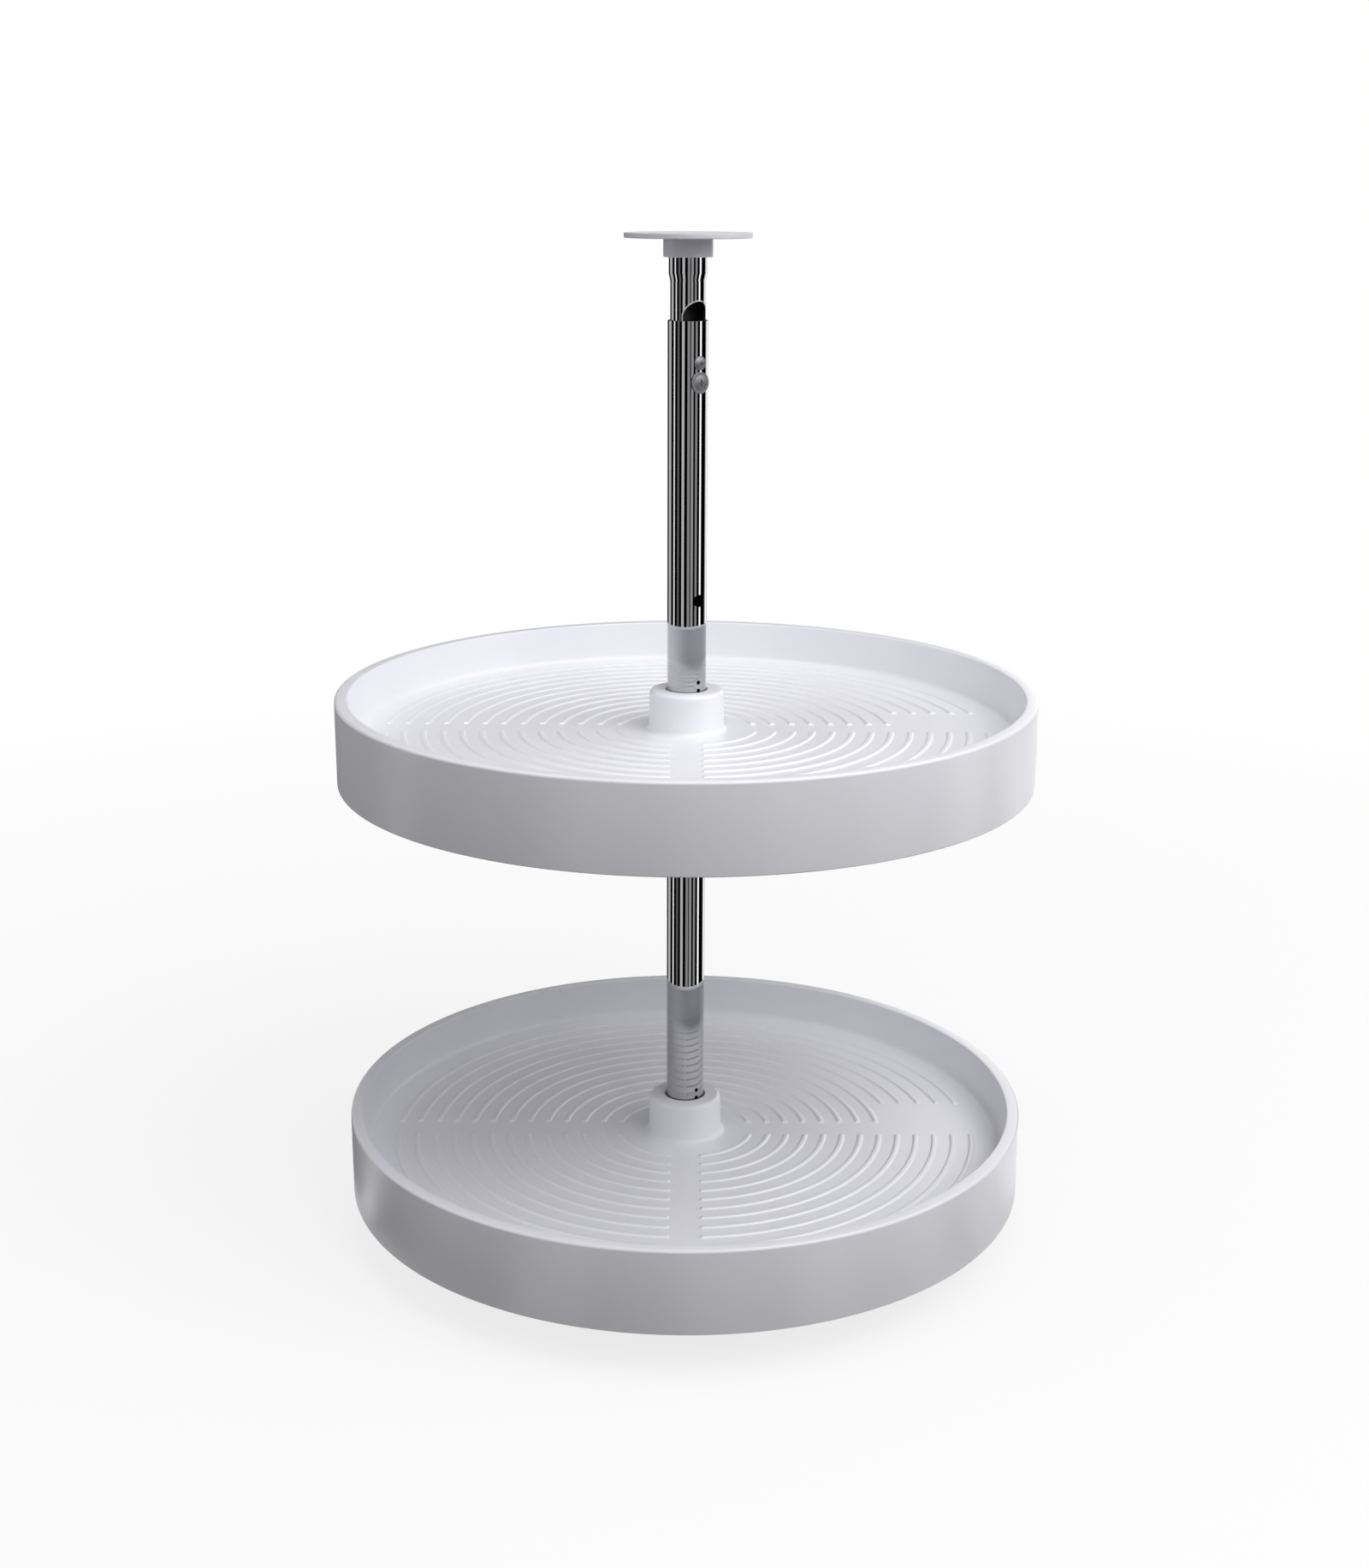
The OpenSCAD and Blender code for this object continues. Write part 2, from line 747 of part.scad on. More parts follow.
// Bush in the ceiling bracket, round the widened end of the extension tube
module ceiling_bush() {
    color(nylon)
    ring(swage_r + run_gap, ceiling_bush_r, ceiling_roof_z - ceiling_hub_h + fit_gap,
         ceiling_hub_h - cap_flange_t - button_h - button_gap - 2 * fit_gap);
}

floor_flange();
floor_bush();
thrust_ball();
shaft_tube();
foot_plug();
nut_plate();
clamp_screw();
locating_screw();
lower_collar();
lower_set_screw();
lower_thrust_washer();
lower_hub_bush();
lower_shelf();
upper_collar();
upper_set_screw();
upper_thrust_washer();
upper_hub_bush();
upper_shelf();
extension_tube();
end_cap();
ceiling_bush();
ceiling_flange();
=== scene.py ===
"""A rotating pantry shelf set, dressed and lit as for a catalogue picture.

Two moulded shelves turn on a telescoping chromed shaft that stands between a floor bracket and a
ceiling bracket. Lengths are metres in the part's own frame: +Z is up, the viewer is on the -Y
side, and the origin is on the cabinet's floor, in the middle of the floor bracket.
"""

import json
import logging
import math
from dataclasses import dataclass, field
from enum import Enum
from typing import Optional, Sequence

import bmesh
import bpy
import numpy as np
from mathutils import Matrix, Vector


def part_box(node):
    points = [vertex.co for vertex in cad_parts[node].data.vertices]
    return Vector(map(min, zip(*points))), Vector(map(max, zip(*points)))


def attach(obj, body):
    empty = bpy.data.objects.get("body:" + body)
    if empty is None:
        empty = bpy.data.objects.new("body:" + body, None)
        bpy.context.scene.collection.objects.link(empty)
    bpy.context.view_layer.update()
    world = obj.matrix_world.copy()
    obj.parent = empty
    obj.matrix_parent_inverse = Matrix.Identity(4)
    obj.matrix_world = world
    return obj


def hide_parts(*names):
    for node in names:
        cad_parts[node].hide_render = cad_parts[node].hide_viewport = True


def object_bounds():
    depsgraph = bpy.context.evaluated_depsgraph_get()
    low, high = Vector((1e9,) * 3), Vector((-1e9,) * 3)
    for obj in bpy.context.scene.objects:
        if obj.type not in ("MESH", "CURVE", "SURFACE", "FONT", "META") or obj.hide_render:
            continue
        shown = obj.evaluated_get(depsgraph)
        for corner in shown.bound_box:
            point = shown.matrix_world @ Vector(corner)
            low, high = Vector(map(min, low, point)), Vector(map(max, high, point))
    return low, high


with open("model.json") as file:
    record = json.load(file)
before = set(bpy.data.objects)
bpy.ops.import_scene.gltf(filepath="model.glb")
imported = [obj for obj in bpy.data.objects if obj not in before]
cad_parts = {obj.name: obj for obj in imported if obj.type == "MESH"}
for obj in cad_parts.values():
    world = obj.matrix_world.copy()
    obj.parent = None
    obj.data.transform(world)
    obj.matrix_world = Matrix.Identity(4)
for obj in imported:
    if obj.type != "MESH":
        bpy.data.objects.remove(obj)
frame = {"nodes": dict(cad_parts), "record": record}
CAD_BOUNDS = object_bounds()

Array = np.ndarray
Corner = tuple[float, float, float]
LOG = logging.getLogger("shelf_set")

FULL_TURN = 2 * math.pi
QUARTER = math.pi / 2
# Direction of the clamp screw and of the side holes, anticlockwise from +X
SIDE_ANGLE = math.radians(-52.5)
# How far one solid reaches into another where they are joined
BITE = 0.0005
# The scale of a pattern that isn't drawn out along any axis
EVEN = (1, 1, 1)
# Where most values of a noise texture lie
NOISE_RANGE = (0.3, 0.7)


# ---- Points and outlines --------------------------------------------------------------


def corner_arc(before: Array, corner: Array, after: Array, radius: float, steps: int) -> Array:
    """The arc that rounds one corner of an outline.

    Its centre lies on the corner's bisector, radius / sin(half angle) away, and it starts and
    ends where the two sides touch it, radius / tan(half angle) from the corner.

    Args:
        before: The point before the corner.
        corner: The corner itself.
        after: The point after the corner.
        radius: The arc's radius.
        steps: How many straight steps stand for the arc.

    Returns:
        The arc's points, (steps + 1, 2).
    """
    back = (before - corner) / np.linalg.norm(before - corner)
    ahead = (after - corner) / np.linalg.norm(after - corner)
    half = math.acos(float(np.clip(back @ ahead, -1, 1))) / 2
    bisector = (back + ahead) / np.linalg.norm(back + ahead)
    centre = corner + bisector * radius / math.sin(half)
    first = corner + back * radius / math.tan(half) - centre
    last = corner + ahead * radius / math.tan(half) - centre
    start = math.atan2(first[1], first[0])
    turn = (math.atan2(last[1], last[0]) - start + math.pi) % FULL_TURN - math.pi
    angle = start + turn * np.linspace(0, 1, steps + 1)
    return centre + radius * np.stack([np.cos(angle), np.sin(angle)], axis=1)


def rounded(corners: Sequence[Corner], steps: int = 6) -> Array:
    """An open outline with an arc at each corner that has a rounding.

    Args:
        corners: (x, y, rounding) of each corner; the two ends have no rounding.
        steps: Steps of each arc.

    Returns:
        The outline's points, (n, 2).
    """
    flat = [np.array(c[:2], float) for c in corners]
    runs = [flat[0][None]]
    for i in range(1, len(corners) - 1):
        radius = corners[i][2]
        if radius > 0:
            runs.append(corner_arc(flat[i - 1], flat[i], flat[i + 1], radius, steps))
        else:
            runs.append(flat[i][None])
    runs.append(flat[-1][None])
    return np.concatenate(runs)


def on_circles(radius: Array, angle: Array, height: Array) -> Array:
    """Points round the Z axis: x = r cos a, y = r sin a, z = height.

    Args:
        radius: Their distances from the axis.
        angle: Their angles from +X.
        height: Their heights. The three are stretched to one shape.

    Returns:
        The points, with x, y and z along a last axis.
    """
    rows = np.broadcast_arrays(radius * np.cos(angle), radius * np.sin(angle), height)
    return np.stack(rows, axis=-1)


def revolved(outline: Array, angles: Array) -> Array:
    """An outline (radius, height) turned about the Z axis.

    Args:
        outline: The outline's points, (n, 2).
        angles: The angles at which it is placed, (m,).

    Returns:
        A grid of points, (n, m, 3).
    """
    return on_circles(outline[:, :1], angles, outline[:, 1:])


def turned(points: Array, angle: float) -> Array:
    """Points turned about the Z axis by an angle."""
    c, s = math.cos(angle), math.sin(angle)
    return points @ np.array([[c, s, 0], [-s, c, 0], [0, 0, 1]])


def round_steps(count: int) -> Array:
    """Evenly spaced angles of a full turn, without the last, which is the first again."""
    return np.linspace(0, FULL_TURN, count, endpoint=False)


def loop_round(first: Array, second: Array) -> Array:
    """The points round the edge of a block of a grid, in order, without the first again.

    Args:
        first: Values of the first parameter across the block.
        second: Values of the second parameter across the block.

    Returns:
        Pairs of the two parameters, (2 (n + m), 2).
    """
    sides = [(first[:-1], np.full(len(first) - 1, second[0])),
             (np.full(len(second) - 1, first[-1]), second[:-1]),
             (first[:0:-1], np.full(len(first) - 1, second[-1])),
             (np.full(len(second) - 1, first[0]), second[:0:-1])]
    return np.concatenate([np.stack(side, axis=1) for side in sides])


def between(inner: Array, outer: Array, layers: int) -> Array:
    """Rows of points on the straight lines from one loop to another.

    Args:
        inner: The first loop, (k, n).
        outer: The second loop, (k, n).
        layers: How many steps lie between them.

    Returns:
        A grid of points, (layers + 1, k, n).
    """
    share = np.linspace(0, 1, layers + 1)[:, None, None]
    return inner * (1 - share) + outer * share


def placed(name: str, data: bpy.types.ID) -> bpy.types.Object:
    """A new object in the scene, at the origin."""
    thing = bpy.data.objects.new(name, data)
    bpy.context.scene.collection.objects.link(thing)
    return thing


class Shell:
    """A closed mesh put together from grids of points. Points that meet are merged."""

    MERGE = 2e-6

    def __init__(self) -> None:
        """Starts with nothing."""
        self.points: list[Array] = []
        self.faces: list[Array] = []
        self.coats: list[Array] = []
        self.count = 0

    def grid(self, points: Array, wrap: bool = False, keep: Optional[Array] = None,
             coat: int = 0) -> None:
        """Adds a grid of four-sided faces.

        Args:
            points: The grid, (rows, columns, 3).
            wrap: Whether the last column joins the first.
            keep: Which cells are wanted, (rows - 1, cells across), or all of them.
            coat: Which of the piece's finishes these faces get.
        """
        rows, columns = points.shape[:2]
        index = np.arange(rows * columns).reshape(rows, columns) + self.count
        if wrap:
            index = np.concatenate([index, index[:, :1]], axis=1)
        cells = np.stack([index[:-1, :-1], index[:-1, 1:], index[1:, 1:], index[1:, :-1]], axis=-1)
        cells = cells[keep] if keep is not None else cells.reshape(-1, 4)
        self.faces.append(cells)
        self.coats.append(np.full(len(cells), coat))
        self.points.append(points.reshape(-1, 3))
        self.count += rows * columns

    def tube(self, section: Array, path: Array) -> None:
        """Adds a closed solid: a section carried along a straight path and closed at both ends.

        Args:
            section: Offsets of the section's points from the path, (k, 3).
            path: The path's points, (n, 3).
        """
        rows = path[:, None] + section[None]
        first, last = (np.broadcast_to(row.mean(axis=0), (1, *row.shape))
                       for row in (rows[0], rows[-1]))
        self.grid(np.concatenate([first, rows, last]), wrap=True)

    def piece(self, name: str, sharp_deg: float = 32) -> bpy.types.Object:
        """Makes the object, with its points merged and its faces pointing outwards.

        Args:
            name: The object's name.
            sharp_deg: Edges that turn by more than this stay sharp.

        Returns:
            The object, at the origin.
        """
        points = np.concatenate(self.points)
        faces = np.concatenate(self.faces)
        mesh = bpy.data.meshes.new(name)
        mesh.from_pydata(points, [], faces.tolist())
        mesh.polygons.foreach_set("material_index", np.concatenate(self.coats))
        work = bmesh.new()
        work.from_mesh(mesh)
        bmesh.ops.remove_doubles(work, verts=work.verts, dist=self.MERGE)
        bmesh.ops.recalc_face_normals(work, faces=work.faces)
        work.to_mesh(mesh)
        work.free()
        mesh.polygons.foreach_set("use_smooth", np.ones(len(mesh.polygons), bool))
        mesh.set_sharp_from_angle(angle=math.radians(sharp_deg))
        mesh.update()
        return placed(name, mesh)


# ---- Finishes -------------------------------------------------------------------------


class Wiring:
    """Shorthand for building the nodes of one material, or of the sky."""

    def __init__(self, owner: bpy.types.ID, output: str = "ShaderNodeOutputMaterial") -> None:
        """Clears the owner's nodes and gives it an output."""
        owner.use_nodes = True
        self.owner = owner
        self.tree = owner.node_tree
        self.tree.nodes.clear()
        self.output = self.add(output)

    def add(self, kind: str, inputs: Optional[dict] = None, **settings: object) -> bpy.types.Node:
        """Adds a node.

        Args:
            kind: The node's type name.
            inputs: Values of its input sockets or the sockets that feed them, by name or number.
            settings: Its other properties.

        Returns:
            The node.
        """
        node = self.tree.nodes.new(kind)
        for key, value in settings.items():
            setattr(node, key, value)
        for key, value in (inputs or {}).items():
            if isinstance(value, bpy.types.NodeSocket):
                self.tree.links.new(value, node.inputs[key])
            else:
                node.inputs[key].default_value = value
        return node

    def show(self, shader: bpy.types.Node) -> None:
        """Makes a shader the one that shows."""
        self.tree.links.new(shader.outputs[0], self.output.inputs["Surface"])

    def mix(self, share: bpy.types.NodeSocket, first: bpy.types.Node,
            second: bpy.types.Node) -> bpy.types.Node:
        """A shader between two others, by a share from 0 to 1."""
        return self.add("ShaderNodeMixShader",
                        {0: share, 1: first.outputs[0], 2: second.outputs[0]})

    def place(self, scale: Corner = EVEN) -> bpy.types.NodeSocket:
        """Object coordinates, stretched along the three axes."""
        here = self.add("ShaderNodeTexCoord").outputs["Object"]
        return self.add("ShaderNodeMapping", {"Vector": here, "Scale": scale}).outputs["Vector"]

    def noise(self, place: bpy.types.NodeSocket, scale: float,
              detail: float) -> bpy.types.NodeSocket:
        """The value of a noise texture at a place."""
        node = self.add("ShaderNodeTexNoise", {"Vector": place, "Scale": scale, "Detail": detail})
        return node.outputs["Fac"]

    def spread(self, value: bpy.types.NodeSocket, low: float, high: float,
               start: float = NOISE_RANGE[0], end: float = NOISE_RANGE[1]) -> bpy.types.NodeSocket:
        """Spreads a value that runs from start to end over the range from low to high."""
        node = self.add("ShaderNodeMapRange", {"Value": value, "From Min": start, "From Max": end,
                                               "To Min": low, "To Max": high})
        return node.outputs["Result"]

    def tint(self, value: bpy.types.NodeSocket, dark: Sequence[float],
             light: Sequence[float]) -> bpy.types.NodeSocket:
        """A colour between two, by a noise's value."""
        ramp = self.add("ShaderNodeValToRGB", {"Fac": value})
        for stop, place, colour in zip(ramp.color_ramp.elements, NOISE_RANGE, (dark, light)):
            stop.position = place
            stop.color = (*colour, 1)
        return ramp.outputs["Color"]

    def bump(self, height: bpy.types.NodeSocket, depth: float) -> bpy.types.NodeSocket:
        """The normal of a surface with a relief of a real depth in metres."""
        return self.add("ShaderNodeBump", {"Height": height, "Distance": depth}).outputs["Normal"]


@dataclass(frozen=True)
class MouldedPlastic:
    """Moulded plastic: an even colour with faint mottling, and the grain of the mould.

    The grain is a noise relief a few hundredths of a millimetre deep. A coarser noise varies the
    gloss, as where the plastic filled the mould unevenly.
    """

    name: str
    dark: tuple[float, float, float]
    light: tuple[float, float, float]
    gloss: tuple[float, float]
    mottle_scale: float = 9
    gloss_scale: float = 22
    grain: float = 0.00002
    grain_scale: float = 900

    def make(self) -> bpy.types.Material:
        """Builds the material."""
        wiring = Wiring(bpy.data.materials.new(self.name))
        place = wiring.place()
        mottle = wiring.noise(place, self.mottle_scale, 4)
        shine = wiring.noise(place, self.gloss_scale, 4)
        grain = wiring.noise(place, self.grain_scale, 2)
        wiring.show(wiring.add("ShaderNodeBsdfPrincipled", {
            "Base Color": wiring.tint(mottle, self.dark, self.light),
            "Roughness": wiring.spread(shine, *self.gloss),
            "Normal": wiring.bump(grain, self.grain)}))
        return wiring.owner


@dataclass(frozen=True)
class BrightMetal:
    """Plated or ground metal: a clear or satin reflection with fine marks.

    Noise drawn out along the piece's length gives the faint lines that drawing or grinding
    leaves, both in the gloss and as a relief. A coarse noise darkens the colour a little.
    """

    name: str
    colour: tuple[float, float, float]
    gloss: tuple[float, float]
    marks: float
    stretch: tuple[float, float, float] = (1, 1, 0.02)
    mark_scale: float = 700
    dull_share: float = 0.93
    dull_scale: float = 30

    def make(self) -> bpy.types.Material:
        """Builds the material."""
        wiring = Wiring(bpy.data.materials.new(self.name))
        dull = tuple(self.dull_share * c for c in self.colour)
        clouds = wiring.noise(wiring.place(), self.dull_scale, 4)
        lines = wiring.noise(wiring.place(self.stretch), self.mark_scale, 3)
        wiring.show(wiring.add("ShaderNodeBsdfPrincipled", {
            "Metallic": 1.0,
            "Base Color": wiring.tint(clouds, dull, self.colour),
            "Roughness": wiring.spread(lines, *self.gloss),
            "Normal": wiring.bump(lines, self.marks)}))
        return wiring.owner


class Finish(Enum):
    """The finishes, each with the record's slot of the same name in lower case."""

    SHELF_PLASTIC = MouldedPlastic("moulded_shelf_plastic", dark=(0.838, 0.836, 0.888),
                                   light=(0.856, 0.854, 0.906), gloss=(0.30, 0.38))
    BRACKET_PLASTIC = MouldedPlastic("moulded_bracket_plastic", dark=(0.700, 0.698, 0.742),
                                     light=(0.725, 0.723, 0.767), gloss=(0.42, 0.52))
    NYLON = MouldedPlastic("natural_nylon", dark=(0.77, 0.75, 0.68), light=(0.81, 0.79, 0.72),
                           gloss=(0.38, 0.48))
    CHROME = BrightMetal("chrome_plate", (0.500, 0.502, 0.512), gloss=(0.006, 0.022), marks=5e-8)
    ZINC = BrightMetal("die_cast_zinc", (0.56, 0.57, 0.59), gloss=(0.30, 0.45), marks=4e-6,
                       stretch=EVEN, mark_scale=260)
    STEEL = BrightMetal("plated_steel", (0.20, 0.20, 0.21), gloss=(0.40, 0.58), marks=3e-5,
                        stretch=EVEN, mark_scale=900)
    # Near-black colour: painted shade, which darkens the tubes' inner walls, the hole walls and the
    # shaft's end faces.
    BARE_BORE = BrightMetal("bore_painted_shade", (0.045, 0.045, 0.05), gloss=(0.45, 0.60),
                            marks=4e-6)
    CUT_EDGE = BrightMetal("cut_steel_edge", (0.55, 0.55, 0.56), gloss=(0.35, 0.50), marks=4e-6,
                           stretch=EVEN, mark_scale=400)

    @property
    def slot(self) -> str:
        """The record's material slot."""
        return self.name.lower()


class Paintbox:
    """Makes each finish's material once and hands it out."""

    def __init__(self) -> None:
        """Starts with no material made."""
        self.made: dict[Finish, bpy.types.Material] = {}

    def material(self, finish: Finish) -> bpy.types.Material:
        """The material of a finish."""
        if finish not in self.made:
            self.made[finish] = finish.value.make()
        return self.made[finish]

    def dress(self, thing: bpy.types.Object, finish: Finish, *more: Finish) -> None:
        """Gives a new piece its materials.

        Args:
            thing: The piece.
            finish: Its main finish.
            more: The finishes of its other coats, in order.
        """
        for each in (finish, *more):
            thing.data.materials.append(self.material(each))

    def repaint(self, node: str) -> None:
        """Gives a carried-over node the material of its slot in the record."""
        slots = {s["node"]: s["material_slot"] for s in frame["record"]["subparts"]}
        thing = frame["nodes"][node]
        for slot in thing.material_slots:
            slot.link = "OBJECT"
            slot.material = self.material(Finish[slots[node].upper()])


# ---- Shelves --------------------------------------------------------------------------


@dataclass(frozen=True)
class FloorLines:
    """The lines that run outwards across a shelf's floor, between its hub and its wall.

    Two bare strips cross the floor, and a bare pad lies beside one of them. At radius r a line's
    angle is base + strip * s(r) + pad * p(r), where s(r) = asin(half the strip / r) is the angle
    of a strip's edge and p(r) = asin(pad's reach / r) that of the pad's far edge. So some of the
    lines follow those edges all the way, and ribs that end there end cleanly.
    """

    strip_half: float
    pad_reach: float
    across_strip: int = 4
    across_quarter: int = 54
    across_pad: int = 6
    near_end: int = 8
    near_share: float = 0.05

    def shares(self, middle: int) -> Array:
        """Shares from 0 up to 1, close together at both ends, without the 1 itself."""
        near = self.near_share * (np.arange(self.near_end) / self.near_end) ** 2
        plain = np.linspace(self.near_share, 1 - self.near_share, middle)
        return np.concatenate([near, plain, 1 - near[:0:-1]])

    def factors(self) -> Array:
        """The base, strip and pad factors of every line, in order round the floor, (3, lines)."""
        rows = []
        share = self.shares(self.across_quarter)
        for corner in range(4):
            strip = np.linspace(-1, 1, self.across_strip, endpoint=False)
            rows.append([corner * QUARTER + 0 * strip, strip, 0 * strip])
            if corner == 0:
                low = self.shares(self.across_pad)
                rows.append([0 * low, 1 - low, low])
                rows.append([QUARTER * share, -share, 1 - share])
            else:
                rows.append([corner * QUARTER + QUARTER * share, 1 - 2 * share, 0 * share])
        return np.concatenate(rows, axis=1)

    def strip_edge(self, radius: Array) -> Array:
        """The angle of a strip's edge at a radius."""
        return np.arcsin(self.strip_half / radius)

    def pad_edge(self, radius: Array) -> Array:
        """The angle of the pad's far edge at a radius, held at an eighth of a turn near the hub."""
        return np.arcsin(np.minimum(self.pad_reach / radius, math.sin(math.pi / 4)))

    def angles(self, radius: Array) -> Array:
        """The angle of every line at each radius, (radii, lines)."""
        radius = np.atleast_1d(radius)[:, None]
        base, strip, pad = self.factors()
        return base + strip * self.strip_edge(radius) + pad * self.pad_edge(radius)


@dataclass
class ShelfMoulding:
    """One round shelf: a ribbed floor, a double-walled rim, a hub and webs underneath."""

    node: str
    body: str
    band: float = 0.0082
    wall_lean: float = 0.0034
    outer_round: float = 0.002
    inner_round: float = 0.001
    foot_round: float = 0.0008
    hollow_round: float = 0.001
    floor_depth: float = 0.027
    floor_round: float = 0.0035
    wall: float = 0.003
    rim_solid: float = 0.006
    rib_first: float = 0.0454
    rib_pitch: float = 0.0127
    rib_count: int = 13
    rib_width: float = 0.0044
    rib_slope: float = 0.0012
    rib_height: float = 0.001
    rib_softness: float = 0.6
    # Rows of points on each side of a rib, in slope widths inwards from its outline
    slope_rows: tuple[float, ...] = (-0.2, 0, 0.25, 0.5, 0.75, 1)
    # Radii of the rings of points inside the first rib and outside the last one
    bare_rings: tuple[float, float] = (0.036, 0.206)
    under_rings: int = 8
    strip: float = 0.0194
    pad_ribs: int = 5
    pad_reach: float = 0.0414
    hub_radius: float = 0.0249
    hub_lean: float = 0.0006
    hub_round: float = 0.003
    hub_foot: float = 0.0035
    hub_depth: float = 0.038
    hub_end_round: float = 0.0005
    crown_round: float = 0.0008
    bore: float = 0.0139
    bush_seat: float = 0.0146
    bush_length: float = 0.015
    sleeve: float = 0.0022
    sleeve_round: float = 0.0004
    web_count: int = 8
    web_thick: float = 0.0022
    web_round: float = 0.0006
    web_drop: float = 0.005
    web_ring: float = 0.120
    ring_steps: int = 144
    hub_webs: int = 6
    hub_web_rise: float = 0.004
    radius: float = field(init=False)
    top: float = field(init=False)
    foot: float = field(init=False)
    lines: FloorLines = field(init=False)

    def __post_init__(self) -> None:
        """Takes the rim's radius and level and the skirt's foot from the frame."""
        low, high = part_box(self.node)
        self.radius, self.top, self.foot = high.x, high.z, low.z
        self.lines = FloorLines(self.strip / 2, self.pad_reach)

    @property
    def floor_edge(self) -> float:
        """Radius at which the flat floor ends and the wall's fillet begins."""
        return self.radius - self.band - self.wall_lean - self.floor_round

    @property
    def floor_start(self) -> float:
        """Radius at which the hub's fillet ends and the flat floor begins."""
        return self.hub_radius + self.hub_foot

    @property
    def floor_z(self) -> float:
        """Level of the floor's upper face."""
        return self.top - self.floor_depth

    @property
    def under_z(self) -> float:
        """Level of the floor's lower face."""
        return self.floor_z - self.wall

    def wall_radius(self, depth: float) -> float:
        """Radius of the leaning inner wall at a depth below the rim."""
        return self.radius - self.band - self.wall_lean * depth / self.floor_depth

    def rib_relief(self, radius: Array, angle: Array) -> Array:
        """Height of the ribs above the floor.

        A rib has a flat top and sloping sides. With t the distance inwards from its outline in
        slope widths, from 0 to 1, and k its softness, its height is
        t - k sin(2 pi t) / (2 pi) of the full height, so that both edges of the slope are
        slightly rounded. The ends slope like the sides.

        Args:
            radius: Radii of the points, (n, 1).
            angle: Angles of the points, (n, m).

        Returns:
            The heights, (n, m).
        """
        number = np.clip(np.round((radius - self.rib_first) / self.rib_pitch), 0,
                         self.rib_count - 1)
        off_centre = np.abs(radius - self.rib_first - number * self.rib_pitch)
        across = (self.rib_width / 2 - off_centre) / self.rib_slope
        local = angle % QUARTER
        start = self.lines.strip_edge(radius) + 0 * angle
        beside_pad = (angle % FULL_TURN < QUARTER) & (number >= self.rib_count - self.pad_ribs)
        start = np.where(beside_pad, self.lines.pad_edge(radius), start)
        end = QUARTER - self.lines.strip_edge(radius)
        along = radius * np.minimum(local - start, end - local) / self.rib_slope
        share = np.clip(np.minimum(across, along), 0, 1)
        softened = share - self.rib_softness * np.sin(FULL_TURN * share) / FULL_TURN
        return self.rib_height * softened

    def floor(self) -> Array:
        """The floor's upper face with its ribs, a height over rings and lines."""
        side = self.rib_width / 2 - np.array(self.slope_rows) * self.rib_slope
        ribs = self.rib_first + self.rib_pitch * np.arange(self.rib_count)[:, None]
        rings = (ribs + np.concatenate([-side, side[::-1]])).ravel()
        first, last = self.bare_rings
        radius = np.concatenate([[self.floor_start, first], rings, [last, self.floor_edge]])
        angle = self.lines.angles(radius)
        radius = radius[:, None]
        return on_circles(radius, angle, self.floor_z + self.rib_relief(radius, angle))

    def underside(self) -> Array:
        """The floor's flat lower face."""
        radius = np.geomspace(self.floor_start, self.floor_edge, self.under_rings)
        return on_circles(radius[:, None], self.lines.angles(radius), self.under_z)

    def rim_outline(self) -> Array:
        """From the floor over the rim, down the skirt and back up inside it."""
        top, under = self.top, self.floor_depth + self.wall
        skirt_in = self.radius - self.wall
        return rounded([
            (self.floor_edge, self.floor_z, 0),
            (self.wall_radius(self.floor_depth), self.floor_z, self.floor_round),
            (self.radius - self.band, top, self.inner_round),
            (self.radius, top, self.outer_round),
            (self.radius, self.foot, self.foot_round),
            (skirt_in, self.foot, self.foot_round),
            (skirt_in, top - self.rim_solid, self.hollow_round),
            (self.wall_radius(self.rim_solid) + self.wall, top - self.rim_solid, 0),
            (self.wall_radius(under) + self.wall, top - under, 0),
            (self.floor_edge, self.under_z, 0)])

    def hub_outline(self) -> Array:
        """From the floor's lower face round the hub, its sleeve and its bore to the upper face."""
        top, foot = self.top, self.top - self.hub_depth
        crown = self.hub_radius - self.hub_lean
        shoulder = foot + self.bush_length
        inside = self.hub_radius - self.wall
        sleeve = self.bush_seat + self.sleeve
        return rounded([
            (self.floor_start, self.under_z, 0),
            (self.hub_radius, self.under_z, 0),
            (self.hub_radius, foot, self.hub_end_round),
            (inside, foot, self.hub_end_round),
            (inside, self.floor_z, 0),
            (crown - self.wall, top - self.wall, self.crown_round),
            (sleeve, top - self.wall, self.crown_round),
            (sleeve, foot, self.sleeve_round),
            (self.bush_seat, foot, self.sleeve_round),
            (self.bush_seat, shoulder, 0),
            (self.bore, shoulder, 0),
            (self.bore, top, self.sleeve_round),
            (crown, top, self.hub_round),
            (self.hub_radius, self.floor_z, self.hub_foot),
            (self.floor_start, self.floor_z, 0)])

    def web_section(self, top: float, foot: float) -> Array:
        """Upright section of a web, (across, height), with its lower edges rounded."""
        half = self.web_thick / 2
        return rounded([(-half, top, 0), (-half, foot, self.web_round),
                        (half, foot, self.web_round), (half, top, 0)], 3)

    @staticmethod
    def add_spokes(shell: Shell, count: int, section: Array, start: float, end: float) -> None:
        """Adds webs that stand round the axis like spokes.

        Args:
            shell: The mesh that they are added to.
            count: How many there are.
            section: Their upright section, (across, height).
            start: The radius at which they start.
            end: The radius at which they end.
        """
        upright = np.stack([0 * section[:, 0], section[:, 0], section[:, 1]], axis=1)
        reach = np.array([[start, 0, 0], [end, 0, 0]])
        for i in range(count):
            angle = (i + 0.5) * FULL_TURN / count
            shell.tube(turned(upright, angle), turned(reach, angle))

